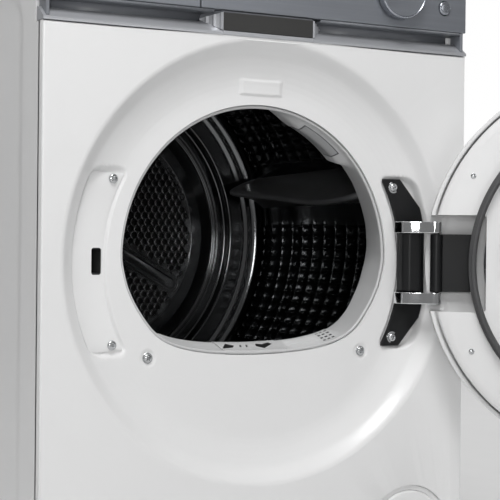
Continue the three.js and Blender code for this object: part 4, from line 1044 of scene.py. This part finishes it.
def cross_screw(node, body, x, z, surface, radius, washer=0.0):
    """Pan-head screw with a cross recess, on a washer if it has one."""
    crown = ((0, -3), (0.45, -2.9), (0.8, -2.2), (0.97, -1), (1, -0.3), (0.98, 0), (0, 0))
    head = turned(node + "_head", [(radius * part, surface + rise) for part, rise in crown], x, z, 48)
    reach, width = radius * 0.62, radius * 0.15
    tilt = math.radians(18.0 + 40.0 * ((x * 0.37 + z * 0.11) % 1.0))
    cutters = []
    for quarter in (0.0, math.pi / 2.0):
        c, s = math.cos(tilt + quarter), math.sin(tilt + quarter)
        outline = [(x + u * c - v * s, z + u * s + v * c)
                   for u, v in ((-reach, -width), (reach, -width), (reach, width), (-reach, width))]
        cutters.append(prism("cross", outline, surface - 5.0, surface - 1.2, 0.0))
    parts = [tidy(carve(head, *cutters), 35.0)]
    if washer:
        bore = radius * 0.7
        ring = ((bore, -0.1), (washer - 0.5, -0.1), (washer, 0.3), (washer, 1.4), (bore, 1.4), (bore, -0.1))
        parts.append(turned("washer", [(r, surface + rise) for r, rise in ring], x, z, 64))
    return place(joined(node + "_screw", *parts), body, ZINC, [node])


def screws():
    """Six visible screws of the front."""
    for level, word in ((97.9, "upper"), (-97.9, "lower")):
        cross_screw("latch_screw_" + word, "cabinet", -198.5, DISH_Z + level, deep(25.6), 5.8)
        cross_screw("hinge_screw_" + word, "cabinet", 198.5, DISH_Z + level, deep(21.0), 5.6, 8.0)
    for side, word in ((-1, "left"), (1, "right")):
        x, level = PANEL_SCREW
        cross_screw("panel_screw_" + word, "cabinet", side * x, DISH_Z + level, deep(25.4), 5.4, 6.6)


BRACKET_HALF = 108.6


def hinge_bracket():
    """Black plate in the right pocket: a flat facet by the hole and one that rises towards the door."""
    sections = []
    for z in np.linspace(-BRACKET_HALF, BRACKET_HALF, 61):
        inward = 1.0 - abs(z) / BRACKET_HALF
        inner = max(math.sqrt(max(210.5 ** 2 - z ** 2, 0.0)), 182.5)
        crease = inner + 13.5 + 6.0 * inward
        outer = min(math.sqrt(250.0 ** 2 - z ** 2), 208.0 + 39.0 * min(inward / 0.42, 1.0))
        outer = max(outer, crease + 5.0)
        lift = 3.0 * (outer - crease) / 25.0
        line = [(inner, 24.9), (inner, 21.9), (inner + 0.7, 21.1), (crease - 1.5, 21.0), (crease + 1.5, 20.7),
                (outer - 1.0, 21.0 - lift), (outer, 21.8 - lift), (outer, 24.9)]
        sections.append([(x, deep(d), DISH_Z + z) for x, d in line])
    plate = loft("hinge_plate", sections, 22.0, caps=True)
    return place(plate, "cabinet", BLACK_METAL, ["hinge_bracket"])


def closed_curve(points, radius, steps):
    """Closed outline with its corners rounded, the first point not repeated."""
    return rounded(points + points[:1], radius, steps)[:-1]


def hinge_cover():
    """Black moulded cover between the two arms, with a crease down its length."""
    line = ((204.5, 20.6), (205, 8), (211, 1), (218, -1.5), (226, -3), (228, 2),
            (228.0, 20.6))
    outline = closed_curve(deep_line(line), 2.0, 3)
    cover = prism("hinge_cover", outline, DISH_Z - 36.2, DISH_Z + 37.6, 0.8, 3, "Z")
    return place(cover, "cabinet", BLACK_METAL, ())


ARM_LEVEL = 46.0
ARM_HALF = 7.4


def hinge_arms():
    """Two bright cast arms that carry the pivot."""
    x, y = PIVOT
    outline = [(x - 40.0, deep(18.0)), (x - 36.0, deep(5.0)), (x - 31.0, deep(-2.0)), (x - 18.0, deep(-12.0)),
               (x - 6.0, y - 5.5), (x + 2.0, y - 7.8), (x + 7.6, y - 2.5), (x + 7.0, y + 4.5),
               (x, y + 9.5), (x - 9.0, y + 16.5), (x - 16.0, deep(10.0)), (x - 20.0, deep(18.0))]
    smooth = closed_curve(outline, 3.5, 4)
    for word, level in (("upper", ARM_LEVEL), ("lower", -ARM_LEVEL)):
        z0, z1 = DISH_Z + level - ARM_HALF, DISH_Z + level + ARM_HALF
        arm = prism(f"hinge_arm_{word}_cast", smooth, z0, z1, 1.0, 3, "Z")
        bore_profile = [(0.0, z0 - 1.0), (3.8, z0 - 1.0), (3.8, z1 + 1.0), (0.0, z1 + 1.0)]
        carve(arm, turned("bore", bore_profile, x, y, 48, 35.0, "Z"))
        place(tidy(arm, 30.0), "cabinet", CHROME, [f"hinge_arm_{word}"])


# ---- Door, made closed and then swung open ----
DOOR_OUTER = 253.5
DOOR_SCREWS = 224.0
NOTCH = ((177.0, FRONT - 34.0, DISH_Z - 62.0), (264.0, FRONT + 24.0, DISH_Z + 62.0))


def door_piece(name, profile, steps, mat, replaces, notched=False):
    """Turned door piece, cut free round the hinge if asked, and swung open."""
    piece = turned(name, deep_line(profile), 0.0, DISH_Z, steps, 32.0)
    if notched:
        tidy(carve(piece, block("notch", NOTCH[0], NOTCH[1], 4.0, 4)), 32.0)
    return place(swing(piece), "door", mat, replaces)


def closed_profile(points, radius):
    """Closed profile with round corners."""
    return [tuple(p) for p in rounded(points + points[:1], radius, 5)]


def door_front():
    """White outer ring, its bright trim, and the dark window."""
    ring = closed_profile([(DOOR_OUTER, -8), (DOOR_OUTER, -31), (245, -42.5), (234, -46),
                           (184, -46), (174.6, -42), (174, -36.5), (230, -36.5),
                           (242.0, -28.0), (248.5, -8.0)], 5.0)
    door_piece("door_ring_skin", ring, 192, WHITE_PLASTIC, ["door_ring"], True)
    trim = closed_profile([(178, -45.4), (176, -46.8), (172.6, -45.4), (171.6, -41), (174.4, -40),
                           (177.4, -43.0)], 0.8)
    door_piece("door_trim", trim, 192, KNOB_RIM, ())
    glass = ((0, -48), (60, -47.7), (120, -46.8), (160, -45.2), (170, -44.2), (172.2, -43),
             (172.4, -39.2), (120, -42), (0, -43.2))
    door_piece("door_window_glass", glass, 160, GLASS, ["door_window"])


def door_inside():
    """White inner frame, clear bowl and seal."""
    inner = closed_profile([(246, -7), (246, 1), (238, 4), (206, 8), (164, 8),
                            (153, 4), (152, -34), (156.8, -34), (157, 0.5), (163, 3),
                            (204, 3), (241, -2), (241, -7)], 3)
    door_piece("door_frame_skin", inner, 192, WHITE_PLASTIC, ["door_inner_frame"], True)
    bowl = ((0, 56), (30, 55.2), (60, 51.5), (82, 46), (95, 39), (104, 28), (112, 16),
            (124, 5), (139, -5.5), (147, -14), (151, -26), (151, -34), (147.5, -34),
            (147, -27), (142, -16.5), (134, -8.5), (119, 2.5), (107.5, 13), (99.5, 25),
            (91, 35), (79, 42), (58, 47.5), (30, 51.2), (0, 52))
    door_piece("door_bowl_clear", bowl, 160, BOWL, ["door_bowl"])
    seal = closed_profile([(189.5, 8.3), (199.5, 8.3), (200, 13), (195.5, 15), (197.5, 20.5),
                           (193.5, 21.8), (191, 18), (192, 14)], 1.4)
    door_piece("door_seal_lip", seal, 192, SEAL, ["door_seal"])


def door_fittings():
    """Latch hook on the free edge, and the screws of the inner frame."""
    line = ((-222, 8.4), (-216, 8.4), (-216, 40), (-219, 43.5), (-222, 44), (-222, 8.4))
    outline = rounded(deep_line(line), 1.2, 3)[:-1]
    hook = prism("latch_hook_steel", outline, DISH_Z - 8.3, DISH_Z + 9.7, 0.6, 2, "Z")
    carve(hook, block("eye", (-230.0, deep(28.0), DISH_Z - 3.3), (-210.0, deep(37.0), DISH_Z + 4.7), 1.0, 2))
    place(swing(tidy(hook, 30.0)), "door", ZINC, ["latch_hook"])
    head = ((0, 7.4), (1.6, 7.3), (3.4, 6.6), (3.8, 5.6), (3.8, 4), (0, 4))
    for number in range(6):
        around = math.radians(30.0 + 60.0 * number)
        x, z = DOOR_SCREWS * math.cos(around), DISH_Z + DOOR_SCREWS * math.sin(around)
        screw = turned(f"door_screw_{number + 1}", deep_line(head), x, z, 32)
        place(swing(screw), "door", ZINC, ())


def door():
    """Porthole door: ring, window, inner frame, bowl, seal, hook and screws."""
    door_front()
    door_inside()
    door_fittings()


def hinge_leaf():
    """Door-side plate: barrel and pin between the arms, and a black plate screwed to the door."""
    x, y = PIVOT
    reach, pin_reach = 37.4, 53.4
    parts = []
    for name, radius, half, steps in (("barrel", 8.0, reach, 64), ("pin", 3.5, pin_reach, 48)):
        edge = radius / 10.0
        profile = [(0.0, DISH_Z - half), (radius - edge, DISH_Z - half), (radius, DISH_Z - half + edge),
                   (radius, DISH_Z + half - edge), (radius - edge, DISH_Z + half), (0.0, DISH_Z + half)]
        parts.append(turned(name, profile, x, y, steps, 35.0, "Z"))
    outline = closed_curve([(x, y - 2.2), (x - 4.0, y - 4.9), (x - 52.0, y - 4.9), (x - 52.0, y - 8.9),
                            (x - 6.0, y - 8.9), (x, y - 7.6)], 1.2, 3)
    parts.append(prism("leaf", outline, DISH_Z - reach, DISH_Z + reach, 0.6, 2, "Z"))
    leaf = tidy(joined("hinge_leaf_plate", *parts), 32.0)
    return place(swing(leaf), "door", BLACK_METAL, ["hinge_leaf"])


# ---- Cabinet ----


def rounded_box_distance(u, v, half_u, half_v, corner):
    """Signed distance to a rectangle with round corners, negative inside."""
    du, dv = np.abs(u) - half_u + corner, np.abs(v) - half_v + corner
    return np.hypot(np.maximum(du, 0.0), np.maximum(dv, 0.0)) + np.minimum(np.maximum(du, dv), 0.0) - corner


def side_panel(side):
    """Folded side sheet with a pressed field that stiffens it."""
    front, rear_edge = deep(3.5), REAR - 3.5
    fold_x = side * (HALF_WIDTH - 16.0)
    outer = side * HALF_WIDTH
    corners = [(fold_x, front), (outer, front), (outer, rear_edge), (fold_x, rear_edge)]
    bends = [tuple(point) for point in rounded(corners, 7.0, 6)]
    line = bends[:8] + [(outer, y) for y in np.linspace(front + 10.0, rear_edge - 10.0, 90)] + bends[8:]
    heights = np.concatenate([np.linspace(4.0, 702.9, 100), [703.1], np.linspace(708.0, FASCIA_HIGH, 18)])
    verts = []
    for z in heights:
        for x, y in line:
            inside = rounded_box_distance(y, z - 409.0, 235.0, 335.0, 40.0)
            pressed = 2.2 * smoothstep((6.0 - inside) / 14.0) * (abs(x - outer) < 0.01)
            behind_fascia = max(y, deep(23.0)) if z > PANEL_TOP else y
            verts.append((x - side * pressed, behind_fascia, z))
    word = "left" if side < 0 else "right"
    sheet = tidy(new_object(f"side_panel_{word}", verts, grid_faces(len(heights), len(line))), 40.0, 0.001)
    return place(bake(thicken(sheet, 1.4)), "cabinet", WHITE, [f"{word}_side_panel"])


def worktop():
    """White laminated top with a rounded front edge."""
    outline = rounded_rectangle(-HALF_WIDTH, FRONT, HALF_WIDTH, REAR, 9.0, 8)
    top = prism("worktop_board", outline, WORKTOP_BOTTOM, WORKTOP_TOP, 3.0, 5, "Z")
    place(top, "cabinet", WHITE_PLASTIC, ["worktop"])
    inset = 2.5
    seam = rounded_rectangle(inset - HALF_WIDTH, FRONT + inset, HALF_WIDTH - inset, REAR - inset, 7.0, 8)
    band = prism("worktop_seam", seam, WORKTOP_BOTTOM - 0.4, WORKTOP_BOTTOM + 0.4, 0.0, 1, "Z")
    return place(band, "cabinet", GREY, ())


FOOT = 245.0
DUCT_RIBS = 12
DUCT_HOLE = 204.0
DUCT_SCREWS = 208.0
LOUVRES = [(x, 64.0 + 14.0 * row) for x in (-190.0, 190.0) for row in range(9)]
LOUVRE_HALF = 60.0


def resampled(points, spacing):
    """The same line with extra points, so that none are further apart than spacing."""
    result = [points[0]]
    for (u0, v0), (u1, v1) in zip(points, points[1:]):
        pieces = max(1, math.ceil(math.hypot(u1 - u0, v1 - v0) / spacing))
        result += [(u0 + (u1 - u0) * k / pieces, v0 + (v1 - v0) * k / pieces) for k in range(1, pieces + 1)]
    return result


def rear_sheet():
    """Galvanised sheet with a round hole and two groups of hooded louvres."""
    y0, y1 = REAR - 9.0, REAR + 9.0
    edge = HALF_WIDTH - 0.3
    plate = block("rear_sheet", (-edge, REAR - 2.4, PANEL_BOTTOM), (edge, REAR - 0.5, 814.0), 0.5, 2)
    cutters = [turned("hole", [(0.0, y0), (DUCT_HOLE, y0), (DUCT_HOLE, y1), (0.0, y1)], 0.0, AXIS_Z, 120)]
    for x, z in LOUVRES:
        outline = rounded_rectangle(x - LOUVRE_HALF, z, x + LOUVRE_HALF, z + 6.0, 2.9, 5)
        cutters.append(prism("slot", outline, y0, y1, 0.0))
    plate = tidy(carve(plate, *cutters), 30.0)
    place(plate, "cabinet", SHEET, ["rear_panel"])
    hoods = []
    for x, z in LOUVRES:
        arc = [(REAR - 0.6 + 2.6 * math.sin(t), z + 3.2 + 4.0 * math.cos(t))
               for t in np.linspace(0.0, 2.2, 8)]
        verts = [(end, y, h) for end in (x - LOUVRE_HALF - 1.0, x + LOUVRE_HALF + 1.0) for y, h in arc]
        hood = new_object("hood", verts, grid_faces(2, len(arc)))
        hoods.append(thicken(tidy(hood, 40.0), 0.8, 0.0))
    place(joined("rear_louvres", *hoods), "cabinet", SHEET, ())


def duct_cover():
    """Round pressing with radial ribs over the air duct, and its screws."""
    angle = full_turn(240)
    profile = rounded([(0.5, 317.6), (60, 317.6), (70, 318.8), (166, 318.8), (196, 307),
                       (201, 306.6), (215, 306.6), (215, 305.3), (0.5, 305.3)], 5, 4)
    rings = []
    for radius, y in resampled(profile, 4.0):
        across = smoothstep((np.cos(angle * DUCT_RIBS) - 0.7) / 0.25)
        along = smoothstep((radius - 84.0) / 8.0) * smoothstep((158.0 - radius) / 8.0) * (y > 310.0)
        rings.append(circle(radius, y - 2.6 * across * along, angle))
    place(loft("duct_cover", rings, 30.0), "cabinet", SHEET, ["rear_duct_cover"])
    head = [(0, 309.4), (2.4, 309.2), (3.9, 308), (4, 306.4), (0, 306.4)]
    for number in range(8):
        around = math.radians(22.5 + 45.0 * number)
        x, z = DUCT_SCREWS * math.cos(around), AXIS_Z + DUCT_SCREWS * math.sin(around)
        place(turned(f"duct_screw_{number + 1}", head, x, z, 32), "cabinet", ZINC, ())


def service():
    """Round cover at the lower right with a slot for a coin, in its collar."""
    x, z = SERVICE
    disc = ((0, -0.2), (40, -0.3), (54.5, -0.8), (57, -0.4), (58.2, 0.8), (58.5, 2.5), (58.5, 8),
            (52, 8), (52, 4), (0, 4))
    lid = turned("service_lid_disc", deep_line(disc), x, z, 160)
    slot = rounded_rectangle(x - 17.0, z - 3.4, x + 17.0, z + 3.4, 3.3, 8)
    carve(lid, prism("slot", slot, deep(-3.0), deep(2.6), 0.0))
    place(tidy(lid, 30.0), "service_lid", WHITE_PLASTIC, ["service_cover"])
    wall = [(58.9, deep(9.0)), (58.9, deep(3.4)), (60.2, deep(2.9)), (65.0, deep(2.9)), (65.0, deep(9.0))]
    collar = turned("service_collar", closed_profile(wall, 0.5), x, z, 160)
    return place(collar, "cabinet", WHITE_PLASTIC, ())


def feet():
    """Levelling feet with rubber pads, threaded stems and lock nuts."""
    pad_profile = [(0, -15), (17.5, -15), (18.8, -14.2), (19, -12), (17, -9.6), (9, -8.4),
                   (0.0, -8.2)]
    thread = [(0.0, -8.3)]
    for step in range(14):
        thread += [(3.5, -8.3 + 1.2 * step), (4.0, -7.7 + 1.2 * step)]
    thread.append((0.0, 8.4))
    for row, y in (("front", -FOOT), ("rear", FOOT)):
        for side, x in (("left", -FOOT), ("right", FOOT)):
            node = f"foot_{row}_{side}"
            pad = turned(node + "_pad", pad_profile, x, y, 64, 35.0, "Z")
            place(pad, "cabinet", RUBBER, [node])
            stem = turned(node + "_stem", thread, x, y, 32, 25.0, "Z")
            hexagon = circle(7.5, 0.0, full_turn(6), x, y)[:, [0, 2]]
            nut = prism("nut", hexagon, -6.4, -1.2, 0.5, 2, "Z")
            place(joined(node + "_bolt", stem, nut), "cabinet", ZINC, ())


# ---- CAD nodes that keep their own shape ----


def carried_over():
    """Gives the inner parts that stay as they are their material and rounded edges."""
    finishes = {
        "base_tray": TRAY, "control_board": BOARD, "water_tank": PALE, "drawer_housing": GREY,
        "rear_bearing": STEEL, "support_roller_left": GRIP, "support_roller_right": GRIP, "motor": MOTOR,
        "motor_pulley": STEEL, "fan_wheel": GREY, "drive_belt": RUBBER, "compressor": MOTOR,
        "evaporator": FIN, "condenser": FIN, "exchanger_housing": GREY, "door_lock": DARK,
    }
    for node, mat in finishes.items():
        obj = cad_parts[node]
        obj.data.materials.clear()
        obj.data.materials.append(mat)
        edges = obj.modifiers.new("edges", "BEVEL")
        edges.width = 0.6 * MM
        edges.segments = 2
        edges.limit_method = "ANGLE"
        edges.angle_limit = math.radians(40.0)


def build():
    """Every visible piece, front to back."""
    front_panel()
    latch_plate()
    front_tunnel()
    lamp_lens()
    sill()
    lint_filter()
    drum_shell()
    perforated_disc()
    drum_back()
    spokes()
    for number, angle in enumerate(LIFTER_ANGLES):
        lifter(number, angle)
    control_panel()
    knob()
    grip()
    screws()
    hinge_bracket()
    hinge_cover()
    hinge_arms()
    hinge_leaf()
    door()
    for side in (-1, 1):
        side_panel(side)
    worktop()
    rear_sheet()
    duct_cover()
    service()
    feet()
    carried_over()


# ---- Camera, light and floor ----


CAMERA_PLACE = (-0.8894, -1.8297, 0.4581)
CAMERA_TURN = (29.47, -0.42, 0.59)
CAMERA_LENS = 103.7
ROOM_LIGHT = 0.19
# Name, place, target, size and power of each lamp.
LAMPS = (
    ("key", (-0.7, -1.55, 2.75), (0.0, -0.3, 0.43), (1.1, 1.1), 50.0),
    ("right", (0.85, -3.0, 1.25), (0.0, -0.3, 0.6), (1.0, 1.0), 5.0),
    ("front", (-1.15, -2.2, 0.75), (0.15, 0.1, 0.46), (0.35, 0.5), 9.0),
    ("rear", (1.6, 2.9, 2.3), (0.1, 0.3, 0.4), (1.6, 1.6), 45.0),
    ("side", (3.2, 0.4, 1.6), (0.3, 0.0, 0.45), (1.4, 1.4), 20.0),
    ("left", (-3.2, 1.2, 1.6), (-0.3, 0.1, 0.45), (1.4, 1.4), 11.0),
)


def make_camera():
    """Camera at eye level left of the machine, looking into the drum; yaw, pitch and roll in degrees."""
    yaw, pitch, roll = (math.radians(a) for a in CAMERA_TURN)
    ahead = Vector((math.sin(yaw) * math.cos(pitch), math.cos(yaw) * math.cos(pitch), math.sin(pitch)))
    right = Vector((math.cos(yaw), -math.sin(yaw), 0.0))
    up = right.cross(ahead)
    tilted_right = right * math.cos(roll) + up * math.sin(roll)
    tilted_up = up * math.cos(roll) - right * math.sin(roll)
    data = bpy.data.cameras.new("camera")
    data.sensor_width = 36.0
    data.lens = CAMERA_LENS
    data.clip_end = 30.0
    camera = linked("camera", data)
    camera.matrix_world = Matrix.Translation(CAMERA_PLACE) @ Matrix((
        (tilted_right.x, tilted_up.x, -ahead.x, 0.0),
        (tilted_right.y, tilted_up.y, -ahead.y, 0.0),
        (tilted_right.z, tilted_up.z, -ahead.z, 0.0),
        (0.0, 0.0, 0.0, 1.0),
    ))
    bpy.context.scene.camera = camera


def area_light(name, where, target, size, power):
    """Soft rectangular lamp that points at a target; metres and watts."""
    data = bpy.data.lights.new(name, "AREA")
    data.shape = "RECTANGLE"
    data.size, data.size_y = size
    data.energy = power
    light = linked(name, data)
    light.location = where
    light.rotation_euler = (Vector(target) - Vector(where)).to_track_quat("-Z", "Y").to_euler()


def make_stage():
    """Pale floor and soft studio light."""
    half = 4000.0
    corners = [(-half, -half, FLOOR_Z), (half, -half, FLOOR_Z), (half, half, FLOOR_Z), (-half, half, FLOOR_Z)]
    floor = new_object("studio_floor", corners, [(0, 1, 2, 3)])
    floor.data.materials.append(material("studio_floor", (0.72, 0.72, 0.72), 0.7, vary=0.01, bump=0.0))
    world = bpy.data.worlds.new("studio")
    bpy.context.scene.world = world
    world.use_nodes = True
    nodes, links = world.node_tree.nodes, world.node_tree.links
    dim, backdrop = nodes["Background"], nodes.new("ShaderNodeBackground")
    for background, strength in ((dim, ROOM_LIGHT), (backdrop, 1.0)):
        background.inputs["Color"].default_value = (1.0, 1.0, 1.0, 1.0)
        background.inputs["Strength"].default_value = strength
    seen = nodes.new("ShaderNodeLightPath")
    choose = nodes.new("ShaderNodeMixShader")
    links.new(seen.outputs["Is Camera Ray"], choose.inputs["Fac"])
    links.new(dim.outputs["Background"], choose.inputs[1])
    links.new(backdrop.outputs["Background"], choose.inputs[2])
    links.new(choose.outputs["Shader"], nodes["World Output"].inputs["Surface"])
    for lamp in LAMPS:
        area_light(*lamp)
    bpy.context.scene.view_settings.view_transform = "Standard"


make_camera()
make_stage()
build()
